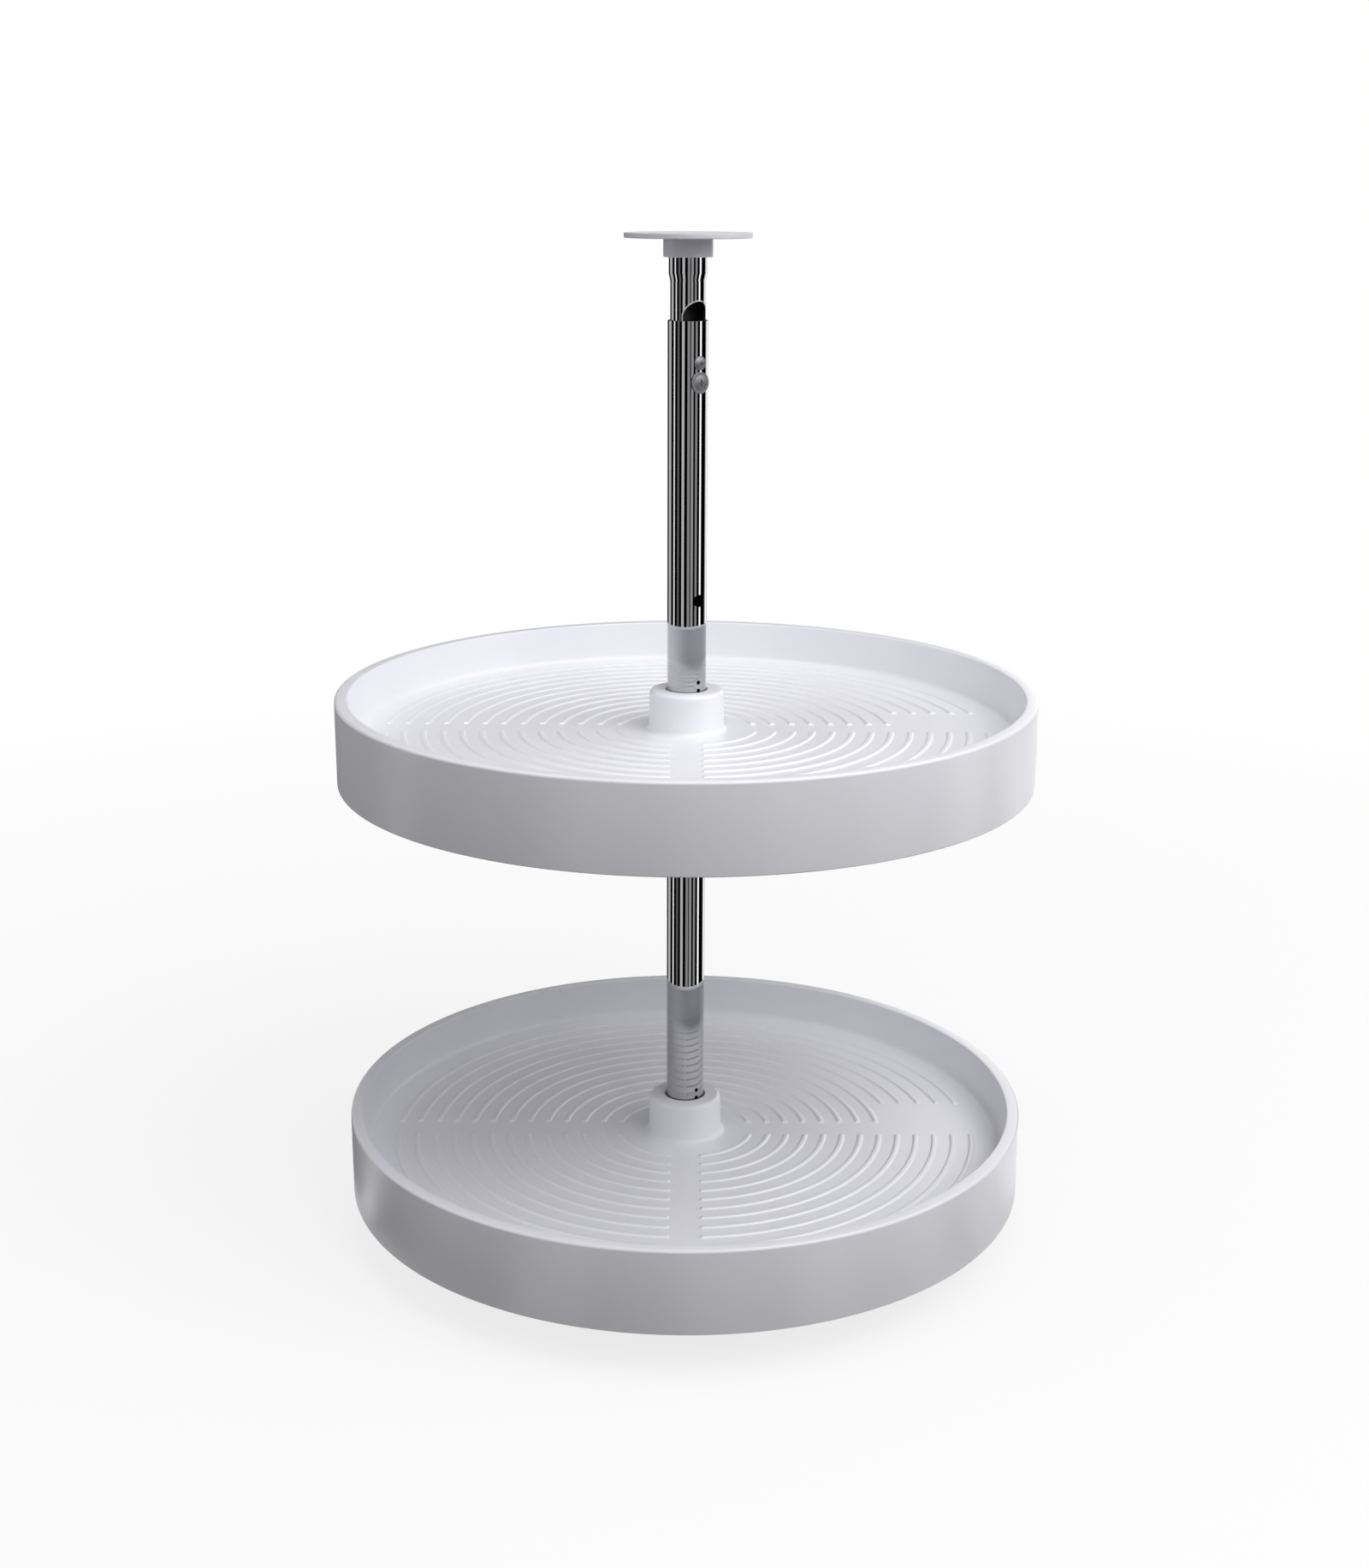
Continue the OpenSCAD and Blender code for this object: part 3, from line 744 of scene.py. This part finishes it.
    def add_webs(self, shell: Shell) -> None:
        """Adds the webs from the hub to the skirt, the ring that ties them and the hub's own."""
        section = self.web_section(self.under_z + BITE, self.under_z - self.web_drop)
        self.add_spokes(shell, self.web_count, section, self.hub_radius - BITE,
                        self.radius - self.wall + BITE)
        loop = np.concatenate([section, section[:1]]) + [self.web_ring, 0]
        shell.grid(revolved(loop, round_steps(self.ring_steps)), wrap=True)
        section = self.web_section(self.top - self.wall + BITE,
                                   self.top - self.hub_depth + self.hub_web_rise)
        self.add_spokes(shell, self.hub_webs, section, self.bush_seat + self.sleeve - BITE,
                        self.hub_radius - self.wall + BITE)

    def build(self, paints: Paintbox) -> bpy.types.Object:
        """Builds the shelf and puts it in its node's place."""
        shell = Shell()
        shell.grid(self.floor(), wrap=True)
        shell.grid(self.underside(), wrap=True)
        shell.grid(revolved(self.rim_outline(), self.lines.angles(self.floor_edge)[0]), wrap=True)
        shell.grid(revolved(self.hub_outline(), self.lines.angles(self.floor_start)[0]), wrap=True)
        self.add_webs(shell)
        piece = shell.piece(f"{self.node}_moulding")
        paints.dress(piece, Finish.SHELF_PLASTIC)
        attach(piece, self.body)
        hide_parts(self.node)
        return piece


# ---- Tubes ----------------------------------------------------------------------------


@dataclass(frozen=True)
class SideHole:
    """A round hole through a tube's front wall: its level, its diameter and its patch's height."""

    level: float
    diameter: float
    patch: float


@dataclass(frozen=True)
class ShaftTube:
    """The outer tube, with the holes that face along the side direction.

    Each wall is a cylinder laid out over angle and height. Round a hole, a block of that grid
    gives way to rows of points that run from the hole's edge to the block's edge. They are laid
    out on (across, height), where across = r sin(angle from the side direction).
    """

    node: str = "shaft_tube"
    body: str = "shaft"
    wall: float = 0.0012
    edge: float = 0.0002
    # The diameter of each kind of hole, and the height of the patch laid out round it
    clamp_hole: tuple[float, float] = (0.0062, 0.0110)
    locating_hole: tuple[float, float] = (0.0042, 0.0080)
    pilot_hole: tuple[float, float] = (0.0028, 0.0052)
    spare_hole: tuple[float, float] = (0.0080, 0.0130)
    # Heights of the pilot holes above each rim, and of the spare hole above the upper rim
    pilot_rises: tuple[float, float] = (0.0008, 0.0062)
    spare_rise: float = 0.060
    around: int = 96
    band_cells: int = 6
    patch_rows: int = 6
    patch_layers: int = 4
    plain_row: float = 0.02
    end_rows: int = 3

    def holes(self) -> list[SideHole]:
        """The clamp's two holes, the spare hole and two pilot holes above each hub."""
        screws = (("clamp_screw", self.clamp_hole), ("locating_screw", self.locating_hole))
        found = [SideHole(sum(c.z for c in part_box(screw)) / 2, *hole) for screw, hole in screws]
        rims = [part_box(shelf)[1].z for shelf in ("lower_shelf", "upper_shelf")]
        found += [SideHole(rim + rise, *self.pilot_hole)
                  for rim in rims for rise in self.pilot_rises]
        found.append(SideHole(rims[-1] + self.spare_rise, *self.spare_hole))
        return sorted(found, key=lambda hole: hole.level)

    def levels(self, low: float, high: float) -> tuple[Array, list[int]]:
        """Heights of the grid's rows, and the row at which each hole's patch starts."""
        rows, starts = [low], []
        for hole in self.holes():
            foot = hole.level - hole.patch / 2
            gap = foot - rows[-1]
            plain = max(2, round(gap / self.plain_row) + 1)
            rows += list(np.linspace(rows[-1], foot, plain)[1:])
            starts.append(len(rows) - 1)
            rows += list(np.linspace(foot, foot + hole.patch, self.patch_rows + 1)[1:])
        rows += list(np.linspace(rows[-1], high, self.end_rows + 1)[1:])
        return np.array(rows), starts

    def build(self, paints: Paintbox) -> bpy.types.Object:
        """Builds the tube and puts it in its node's place."""
        low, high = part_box(self.node)
        radius, bore = high.x, high.x - self.wall
        rows, starts = self.levels(low.z + self.edge, high.z - self.edge)
        angles = SIDE_ANGLE + round_steps(self.around)
        band = np.arange(-self.band_cells, self.band_cells + 1)
        keep = np.ones((len(rows) - 1, self.around), bool)
        shell = Shell()
        for hole, start in zip(self.holes(), starts):
            keep[start:start + self.patch_rows, band[:-1] % self.around] = False
            block = rows[start:start + self.patch_rows + 1]
            loop = loop_round(band * FULL_TURN / self.around, block)
            way = np.stack([radius * np.sin(loop[:, 0]), loop[:, 1] - hole.level], axis=1)
            rim = way / np.linalg.norm(way, axis=1)[:, None] * hole.diameter / 2
            rims = []
            for coat, wall in enumerate((radius, bore)):
                edge = np.stack([wall * np.sin(loop[:, 0]), loop[:, 1] - hole.level], axis=1)
                patch = self.on_wall(between(rim, edge, self.patch_layers), wall, hole.level)
                shell.grid(patch, wrap=True, coat=coat)
                rims.append(patch[0])
            # The hole walls take the bore's near-black coat: painted shade.
            shell.grid(np.stack(rims), wrap=True, coat=1)
        for coat, wall in enumerate((radius, bore)):
            outline = np.stack([np.full(len(rows), wall), rows], axis=1)
            shell.grid(revolved(outline, angles), wrap=True, keep=keep, coat=coat)
        # The end faces take the bore's near-black coat too: painted shade.
        for end, row in ((low.z, rows[0]), (high.z, rows[-1])):
            outline = np.array([[radius, row], [radius - self.edge, end],
                                [bore + self.edge, end], [bore, row]])
            shell.grid(revolved(outline, angles), wrap=True, coat=1)
        piece = shell.piece("chromed_shaft", 28)
        paints.dress(piece, Finish.CHROME, Finish.BARE_BORE)
        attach(piece, self.body)
        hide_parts(self.node)
        return piece

    @staticmethod
    def on_wall(flat: Array, wall: float, level: float) -> Array:
        """Lifts (across, height) points on to the cylinder: depth = sqrt(r r - across across)."""
        across, height = flat[..., 0], flat[..., 1]
        depth = np.sqrt(wall ** 2 - across ** 2)
        return turned(np.stack([depth, across, level + height], axis=-1), SIDE_ANGLE)


@dataclass(frozen=True)
class ExtensionTube:
    """The inner tube: a long slot with a round end, a neck and a widened top end."""

    node: str = "extension_tube"
    body: str = "extension"
    radius: float = 0.0111
    wall: float = 0.001
    swage: float = 0.0187
    neck: float = 0.0045
    neck_round: float = 0.002
    neck_lead: float = 0.003
    slot: float = 0.018
    lip: float = 0.0008
    slot_drop: float = 0.0353
    slot_steps: int = 28
    back_steps: int = 64
    leg_rows: int = 14
    upper_layers: int = 8

    def border(self, radius: float, rows: Array, lip: float) -> Array:
        """A line round the slot: up one side, over its round end and down the other side.

        Over the end, for t from 0 to half a turn, its angle is asin(s cos(t) / r) + l cos(t) / r
        and its height is (s + l) sin(t) above the end's middle, where s is half the slot's width
        and l is the line's distance from the slot.

        Args:
            radius: The wall's radius r.
            rows: Heights of the points along the straight sides, up to the end's middle.
            lip: The distance l.

        Returns:
            The line's points, (2 (rows - 1) + slot_steps + 1, 3).
        """
        turn = np.linspace(0, math.pi, self.slot_steps + 1)
        side = np.ones(len(rows) - 1)
        across = np.concatenate([side, np.cos(turn), -side])
        angle = SIDE_ANGLE + np.arcsin(self.slot / 2 * across / radius) + lip * across / radius
        height = np.concatenate([rows[:-1], rows[-1] + (self.slot / 2 + lip) * np.sin(turn),
                                 rows[-2::-1]])
        return on_circles(radius, angle, height)

    def build(self, paints: Paintbox) -> bpy.types.Object:
        """Builds the tube and puts it in its node's place."""
        low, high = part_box(self.node)
        swage_r, neck_top = high.x, high.z - self.swage
        neck_low = neck_top - self.neck
        lead = neck_low - self.neck_lead
        slot_end = high.z - self.slot_drop - self.slot / 2
        rows = np.linspace(low.z, slot_end, self.leg_rows)
        shell = Shell()
        edges, feet, tops = [], [], []
        # Coat 1, the bore's near-black colour, is painted shade on the inner wall and the slot's
        # inner edge.
        for coat, inset in enumerate((0.0, self.wall)):
            small, wide = self.radius - inset, swage_r - inset
            edge, line = (self.border(small, rows, lip) for lip in (0.0, self.lip))
            shell.grid(np.stack([edge, line]), coat=2 - coat)
            side = math.asin(self.slot / 2 / small) + self.lip / small
            back = SIDE_ANGLE - np.linspace(side, FULL_TURN - side, self.back_steps + 1)
            legs = revolved(np.stack([np.full(len(rows), small), rows], axis=1), back)
            shell.grid(legs, coat=coat)
            start = np.concatenate([line[len(rows) - 1:1 - len(rows)], legs[-1, 1:-1]])
            level = np.column_stack([start[:, :2], np.full(len(start), lead)])
            shell.grid(between(start, level, self.upper_layers), wrap=True, coat=coat)
            angles = np.arctan2(start[:, 1], start[:, 0])
            outline = rounded([(small, lead, 0), (small, neck_low, self.neck_round),
                               (wide, neck_top, self.neck_round), (wide, high.z, 0)])
            shell.grid(revolved(outline, angles), wrap=True, coat=coat)
            edges.append(edge)
            feet.append(np.concatenate([edge[-1:], legs[0], edge[:1]]))
            tops.append(revolved(np.array([[wide, high.z]]), angles)[0])
        shell.grid(np.stack(edges), coat=2)
        shell.grid(np.stack(feet))
        shell.grid(np.stack(tops), wrap=True)
        piece = shell.piece("slotted_extension", 28)
        paints.dress(piece, Finish.CHROME, Finish.BARE_BORE, Finish.CUT_EDGE)
        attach(piece, self.body)
        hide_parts(self.node)
        return piece


# ---- Screws ---------------------------------------------------------------------------


@dataclass(frozen=True)
class CrossScrew:
    """A screw with a domed head and a cross recess, seen from the side direction.

    The head is a height over (distance from the axis, angle): a flat brim, a dome of height
    sqrt(R R - d d) - R + h, and two crossing grooves with sloping sides.
    """

    node: str
    head_radius: float
    dome_radius: float
    brim: float
    head: float
    shank: float
    groove_length: float
    groove_width: float
    groove_depth: float
    groove_slope: float = 0.00025
    tip_round: float = 0.0003
    brim_round: float = 0.0002
    around: int = 120
    brim_rings: int = 5
    dome_rings: int = 44

    def head_surface(self) -> Array:
        """The head's outer face, from its edge to the axis, with its underside at height 0."""
        rise = self.head - self.brim
        ball = (self.dome_radius ** 2 + rise ** 2) / (2 * rise)
        brim = np.linspace(self.head_radius - self.brim / 2, self.dome_radius, self.brim_rings)
        dome = np.linspace(self.dome_radius, 0, self.dome_rings)
        distance = np.concatenate([brim[:-1], dome])
        angle = round_steps(self.around)
        d = distance[:, None]
        x, y = d * np.cos(angle), d * np.sin(angle)
        inside = np.clip(ball ** 2 - np.minimum(d, self.dome_radius) ** 2, 0, None)
        height = self.brim + rise - ball + np.sqrt(inside)
        length, width = self.groove_length / 2, self.groove_width / 2
        arm = np.maximum(np.abs(x) - length, np.abs(y) - width)
        other = np.maximum(np.abs(y) - length, np.abs(x) - width)
        cut = np.clip(-np.minimum(arm, other) / self.groove_slope, 0, 1) * self.groove_depth
        return np.stack([x, y, height - cut], axis=-1)

    def build(self, paints: Paintbox) -> bpy.types.Object:
        """Builds the screw and puts it in its node's place."""
        low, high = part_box(self.node)
        middle = (low + high) / 2
        angle = round_steps(self.around)
        tip, seat = self.span()
        outline = rounded([(0, tip, 0), (self.shank, tip, self.tip_round), (self.shank, seat, 0),
                           (self.head_radius, seat, self.brim_round),
                           (self.head_radius, seat + self.brim / 2, 0),
                           (self.head_radius - self.brim / 2, seat + self.brim, 0)], 3)
        shell = Shell()
        shell.grid(revolved(outline, angle), wrap=True)
        shell.grid(self.head_surface() + [0, 0, seat], wrap=True)
        piece = shell.piece(f"{self.node}_with_recess", 40)
        place = (Matrix.Translation((0, 0, middle.z)) @ Matrix.Rotation(SIDE_ANGLE, 4, "Z")
                 @ Matrix.Rotation(math.pi / 2, 4, "Y"))
        piece.data.transform(place)
        paints.dress(piece, Finish.STEEL)
        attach(piece, "shaft")
        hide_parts(self.node)
        return piece

    def span(self) -> tuple[float, float]:
        """Distances of the tip and of the head's seat from the shaft's axis, from the node."""
        mesh = frame["nodes"][self.node].data
        points = np.zeros(3 * len(mesh.vertices), np.float32)
        mesh.vertices.foreach_get("co", points)
        side = np.array([math.cos(SIDE_ANGLE), math.sin(SIDE_ANGLE), 0])
        along = points.reshape(-1, 3) @ side
        return float(along.min()), float(along.max()) - self.head


# ---- Brackets -------------------------------------------------------------------------


@dataclass(frozen=True)
class Bracket:
    """A round flange with a hub, and countersunk screw holes on a circle.

    It is laid out with the flange's mounting face at height 0 and the hub upwards. Each face of
    the flange is a grid over angle and radius, in which a block round each hole gives way to
    rows from the hole's edge to the block's edge.
    """

    node: str
    body: str
    hub: float
    socket: float
    socket_floor: float
    hub_fillet: float
    flange: float = 0.0032
    edge_round: float = 0.0006
    face_round: float = 0.0002
    hub_round: float = 0.0005
    mouth_round: float = 0.0003
    # How far the flat faces stay from the hub and from the flange's edge
    hub_margin: float = 0.004
    edge_margin: float = 0.001
    hole_circle: float = 0.031
    hole: float = 0.0023
    countersink: float = 0.0045
    holes: int = 4
    # Half the block round each hole, outwards in metres and sideways in degrees
    block: float = 0.005
    block_degrees: float = 10
    band_cells: int = 5
    rest_cells: int = 18
    inner_rows: int = 3
    block_rows: int = 8
    outer_rows: int = 2
    patch_layers: int = 3

    def middles(self) -> list[float]:
        """The angle of each hole."""
        return [(i + 0.5) * FULL_TURN / self.holes for i in range(self.holes)]

    def angles(self) -> Array:
        """Angles of the columns, with a narrow band at each hole."""
        band = math.radians(self.block_degrees)
        parts = []
        for middle in self.middles():
            after = middle + FULL_TURN / self.holes - band
            parts.append(np.linspace(middle - band, middle + band, 2 * self.band_cells,
                                     endpoint=False))
            parts.append(np.linspace(middle + band, after, self.rest_cells, endpoint=False))
        return np.concatenate(parts)

    def face(self, shell: Shell, level: float, inner: float, outer: float, hole: float,
             rims: list[list[Array]]) -> None:
        """Adds one flat face of the flange, and keeps each hole's edge for its wall.

        Args:
            shell: The mesh that it is added to.
            level: The face's height.
            inner: The face's inner radius.
            outer: The face's outer radius.
            hole: The radius of the holes in this face.
            rims: For each hole, the edges found so far.
        """
        angles = self.angles()
        near, far = self.hole_circle - self.block, self.hole_circle + self.block
        block = np.linspace(near, far, self.block_rows + 1)
        rows = np.concatenate([np.linspace(inner, near, self.inner_rows + 1)[:-1], block,
                               np.linspace(far, outer, self.outer_rows + 1)[1:]])
        keep = np.ones((len(rows) - 1, len(angles)), bool)
        cells = 2 * self.band_cells
        for i, middle in enumerate(self.middles()):
            start = i * (cells + self.rest_cells)
            keep[self.inner_rows:self.inner_rows + self.block_rows, start:start + cells] = False
            loop = loop_round(angles[start:start + cells + 1], block)
            edge = on_circles(loop[:, 1], loop[:, 0], level)
            centre = on_circles(self.hole_circle, middle, level)
            way = edge - centre
            rim = centre + way / np.linalg.norm(way, axis=1)[:, None] * hole
            shell.grid(between(rim, edge, self.patch_layers), wrap=True)
            rims[i].append(rim)
        outline = np.stack([rows, np.full(len(rows), level)], axis=1)
        shell.grid(revolved(outline, angles), wrap=True, keep=keep)

    def build(self, paints: Paintbox) -> bpy.types.Object:
        """Builds the bracket and puts it in its node's place."""
        low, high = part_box(self.node)
        height, radius = high.z - low.z, high.x
        angles = self.angles()
        shell = Shell()
        rims: list[list[Array]] = [[] for _ in range(self.holes)]
        inner, outer = self.hub + self.hub_margin, radius - self.edge_margin
        self.face(shell, 0, inner, outer, self.hole, rims)
        sink = self.flange - (self.countersink - self.hole)
        for rim in rims:
            rim.append(rim[0] + [0, 0, sink])
        self.face(shell, self.flange, inner, outer, self.countersink, rims)
        for rim in rims:
            shell.grid(np.stack(rim), wrap=True)
        edge = rounded([(outer, 0, 0), (radius, 0, self.face_round),
                        (radius, self.flange, self.edge_round), (outer, self.flange, 0)])
        hub = rounded([(inner, self.flange, 0), (self.hub, self.flange, self.hub_fillet),
                       (self.hub, height, self.hub_round), (self.socket, height, self.mouth_round),
                       (self.socket, self.socket_floor, 0), (0, self.socket_floor, 0)])
        for outline in (edge, hub, np.array([[0, 0], [inner / 2, 0], [inner, 0]])):
            shell.grid(revolved(outline, angles), wrap=True)
        piece = shell.piece(f"{self.node}_moulding")
        place = Matrix.Translation((0, 0, low.z))
        if self.body == "ceiling_bracket":
            place = Matrix.Translation((0, 0, high.z)) @ Matrix.Rotation(math.pi, 4, "X")
        piece.data.transform(place)
        paints.dress(piece, Finish.BRACKET_PLASTIC)
        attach(piece, self.body)
        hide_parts(self.node)
        return piece


# ---- Studio ---------------------------------------------------------------------------


@dataclass(frozen=True)
class StripCard:
    """A tall card beside the set that only reflections show.

    Its angles are degrees from the viewer, anticlockwise as the chromed shaft shows them from
    left to right, and its tone is what the reflection shows, from 0 for black to 1 for white.
    """

    start: float
    end: float
    tone: float

    @classmethod
    def run(cls, start: float, *rest: tuple[float, float]) -> tuple["StripCard", ...]:
        """Cards side by side.

        Args:
            start: The angle at which the first one starts.
            rest: For each card, the angle at which it ends and its tone.

        Returns:
            The cards.
        """
        starts = (start, *(end for end, _ in rest))
        return tuple(cls(first, *card) for first, card in zip(starts, rest))


@dataclass(frozen=True)
class SheenBand:
    """Plainer cards between two heights at which only one skirt's side reflects the ring."""

    foot: float
    head: float
    cards: tuple[StripCard, ...]


@dataclass(frozen=True)
class Lamp:
    """A square soft lamp, aimed at the middle of the set.

    Its level is the light that it gives a surface that faces it, where 1 shows a colour as it is
    written. A lamp of power P at distance d gives P / (pi pi d d).
    """

    name: str
    azimuth: float
    elevation: float
    level: float
    size: float = 1.7
    distance: float = 2.4

    def build(self, aim: Vector) -> None:
        """Makes the lamp."""
        light = bpy.data.lights.new(self.name, "AREA")
        light.shape = "SQUARE"
        light.size = self.size
        light.energy = self.level * math.pi ** 2 * self.distance ** 2
        azimuth, elevation = math.radians(self.azimuth), math.radians(self.elevation)
        back = Vector((math.sin(azimuth) * math.cos(elevation),
                       -math.cos(azimuth) * math.cos(elevation), math.sin(elevation)))
        lamp = placed(self.name, light)
        lamp.location = aim + back * self.distance
        lamp.rotation_euler = (-back).to_track_quat("-Z", "Y").to_euler()


@dataclass
class Studio:
    """The floor, the lamps, the cards that the chrome reflects, and the camera."""

    camera_place: tuple[float, float, float] = (-0.00111, -1.3584, 0.6866)
    pitch_down: float = 15.663
    roll: float = 0.203
    focal_pixels: float = 2481.4
    picture_height: float = 1832
    sensor: float = 36
    fill: float = 0.26
    floor_bounce: float = 0.09
    floor_paper: float = 0.9
    floor_glow: float = 0.80
    floor_fade: tuple[float, float] = (0.35, 1.6)
    floor_size: float = 12
    lamps: tuple[Lamp, ...] = (
        Lamp("key_lamp", azimuth=45, elevation=44, level=0.475),
        Lamp("front_lamp", azimuth=13, elevation=34, level=0.14),
        Lamp("top_lamp", azimuth=0, elevation=89.5, level=0.27, size=2.0),
        Lamp("right_lamp", azimuth=88, elevation=32, level=0.24),
        Lamp("left_lamp", azimuth=-90, elevation=15, level=0.148),
    )
    # Each outline holds the radius and height of the cards' foot and head
    ring_outline: tuple[tuple[float, float], ...] = ((0.26, 0.0005), (1.00, 0.66))
    ring_cards: tuple[StripCard, ...] = StripCard.run(
        -192, (-133, 0.02), (-107, 0.78), (-86.5, 0.00), (-77, 1.45), (-60, 0.00), (-48, 0.19),
        (-33, 0.00), (-18, 0.84), (-1, 0.00), (13, 0.43), (20.5, 0.06), (33, 0.56), (45.5, 0.01),
        (57.5, 0.46), (74, 0.00), (86, 2.00), (123.5, 0.00), (137, 0.90), (157, 1.80), (168, 0.20))
    sheen_inset: float = 0.003
    sheen_bands: tuple[SheenBand, ...] = (
        SheenBand(0.001, 0.038, StripCard.run(-180, (-88, 0.10))
                  + StripCard.run(66, (84, 0.90), (110, 1.55), (176, 1.80))),
        SheenBand(0.13, 0.295, StripCard.run(-180, (-128, 0.08), (-88, 0.26))
                  + StripCard.run(96, (132, 1.40), (157, 2.10))),
    )
    back_outline: tuple[tuple[float, float], ...] = ((3.0, 0.0005), (3.0, 2.8))
    back_card: StripCard = StripCard(100, 260, 0.12)
    card_points: int = 9

    def camera(self) -> None:
        """Makes the camera from its place, its tilt and its focal length in pixels."""
        pitch, roll = math.radians(self.pitch_down), math.radians(self.roll)
        ahead = Vector((0, math.cos(pitch), -math.sin(pitch)))
        level_up = Vector((0, math.sin(pitch), math.cos(pitch)))
        right = math.cos(roll) * Vector((1, 0, 0)) + math.sin(roll) * level_up
        up = -math.sin(roll) * Vector((1, 0, 0)) + math.cos(roll) * level_up
        data = bpy.data.cameras.new("studio_camera")
        data.sensor_width = self.sensor
        data.lens = self.sensor * self.focal_pixels / self.picture_height
        camera = placed("studio_camera", data)
        turn = Matrix((right, up, -ahead)).transposed().to_4x4()
        camera.matrix_world = Matrix.Translation(self.camera_place) @ turn
        bpy.context.scene.camera = camera

    @staticmethod
    def seen(wiring: Wiring) -> bpy.types.NodeSocket:
        """1 for what the camera sees, straight, in a reflection or through glass."""
        path = wiring.add("ShaderNodeLightPath")
        value = path.outputs["Is Camera Ray"]
        for name in ("Is Glossy Ray", "Is Transmission Ray"):
            both = {0: value, 1: path.outputs[name]}
            value = wiring.add("ShaderNodeMath", both, operation="MAXIMUM").outputs[0]
        return value

    def floor(self) -> None:
        """A pale floor that keeps the set's soft shadow and melts into the white background."""
        half = self.floor_size / 2
        mesh = bpy.data.meshes.new("studio_floor")
        mesh.from_pydata([(-half, -half, 0), (half, -half, 0), (half, half, 0), (-half, half, 0)],
                         [], [(0, 1, 2, 3)])
        floor = placed("studio_floor", mesh)
        wiring = Wiring(bpy.data.materials.new("studio_floor"))
        bounce, paper = (wiring.add("ShaderNodeBsdfDiffuse", {"Color": (tone, tone, tone, 1)})
                         for tone in (self.floor_bounce, self.floor_paper))
        glow = wiring.add("ShaderNodeEmission", {"Strength": 1.0})
        away = wiring.add("ShaderNodeVectorMath", {0: wiring.place()}, operation="LENGTH")
        share = wiring.spread(away.outputs["Value"], self.floor_glow, 1.0, *self.floor_fade)
        shown = wiring.mix(share, paper, glow)
        wiring.show(wiring.mix(self.seen(wiring), bounce, shown))
        mesh.materials.append(wiring.owner)

    def sky(self) -> None:
        """An even dome of light that the camera and reflections see as white."""
        wiring = Wiring(bpy.data.worlds.new("studio_sky"), "ShaderNodeOutputWorld")
        level = wiring.spread(self.seen(wiring), self.fill, 1.0, 0, 1)
        wiring.show(wiring.add("ShaderNodeBackground", {"Color": (1, 1, 1, 1), "Strength": level}))
        bpy.context.scene.world = wiring.owner

    def card(self, name: str, outline: Array, strip: StripCard) -> None:
        """Stands up one curved card that only reflections show.

        Args:
            name: The card's name.
            outline: (radius, height) of its foot and its head.
            strip: Its angles and its tone.
        """
        angle = np.radians(np.linspace(strip.start, strip.end, self.card_points) - 90)
        mesh = bpy.data.meshes.new(name)
        count = len(angle)
        faces = [(j, j + 1, count + j + 1, count + j) for j in range(count - 1)]
        mesh.from_pydata(revolved(outline, angle).reshape(-1, 3), [], faces)
        wiring = Wiring(bpy.data.materials.new(name))
        wiring.show(wiring.add("ShaderNodeEmission", {"Strength": strip.tone}))
        mesh.materials.append(wiring.owner)
        thing = placed(name, mesh)
        thing.visible_camera = False
        thing.visible_diffuse = False
        thing.visible_transmission = False
        thing.visible_shadow = False

    def card_ring(self) -> None:
        """Stands the cards in a ring that leans outwards, and a darker one high at the back.

        At two heights only the skirts' sides reflect the ring, and plainer cards hide it there.
        """
        ring = np.array(self.ring_outline)
        for i, strip in enumerate(self.ring_cards, 1):
            self.card(f"strip_card_{i}", ring, strip)
        for i, band in enumerate(self.sheen_bands, 1):
            heights = np.array([band.foot, band.head])
            radii = np.interp(heights, ring[:, 1], ring[:, 0]) - self.sheen_inset
            for j, strip in enumerate(band.cards, 1):
                self.card(f"sheen_card_{i}_{j}", np.stack([radii, heights], axis=1), strip)
        self.card("back_card", np.array(self.back_outline), self.back_card)

    def build(self) -> None:
        """Sets up the whole studio."""
        scene = bpy.context.scene
        scene.view_settings.view_transform = "Standard"
        low, high = CAD_BOUNDS
        aim = (low + high) / 2
        self.camera()
        self.floor()
        self.sky()
        self.card_ring()
        for lamp in self.lamps:
            lamp.build(aim)


# ---- The set --------------------------------------------------------------------------


CARRIED_OVER = ("floor_bush", "thrust_ball", "foot_plug", "nut_plate", "lower_collar",
                "lower_set_screw", "lower_thrust_washer", "lower_hub_bush", "upper_collar",
                "upper_set_screw", "upper_thrust_washer", "upper_hub_bush", "end_cap",
                "ceiling_bush")


def main() -> None:
    """Builds the studio, then every piece of the set, and reports each one."""
    logging.basicConfig(level=logging.INFO, format="%(name)s: %(message)s")
    Studio().build()
    paints = Paintbox()
    pieces = (
        ShelfMoulding("lower_shelf", "lower_shelf"),
        ShelfMoulding("upper_shelf", "upper_shelf"),
        ShaftTube(),
        ExtensionTube(),
        CrossScrew("clamp_screw", head_radius=0.00675, dome_radius=0.0047, brim=0.0007,
                   head=0.0015, shank=0.003, groove_length=0.0044, groove_width=0.0009,
                   groove_depth=0.0008),
        CrossScrew("locating_screw", head_radius=0.0044, dome_radius=0.0042, brim=0.0003,
                   head=0.0015, shank=0.002, groove_length=0.0030, groove_width=0.0008,
                   groove_depth=0.0007),
        Bracket("floor_flange", "floor_bracket", hub=0.0170, socket=0.0145, socket_floor=0.0045,
                hub_fillet=0.0012),
        Bracket("ceiling_flange", "ceiling_bracket", hub=0.0155, socket=0.0135,
                socket_floor=0.0032, hub_fillet=0.0004),
    )
    for part in pieces:
        piece = part.build(paints)
        LOG.info("%s: %d faces", piece.name, len(piece.data.polygons))
    for node in CARRIED_OVER:
        paints.repaint(node)
        LOG.info("%s: carried over", node)


if __name__ == "__main__":
    main()
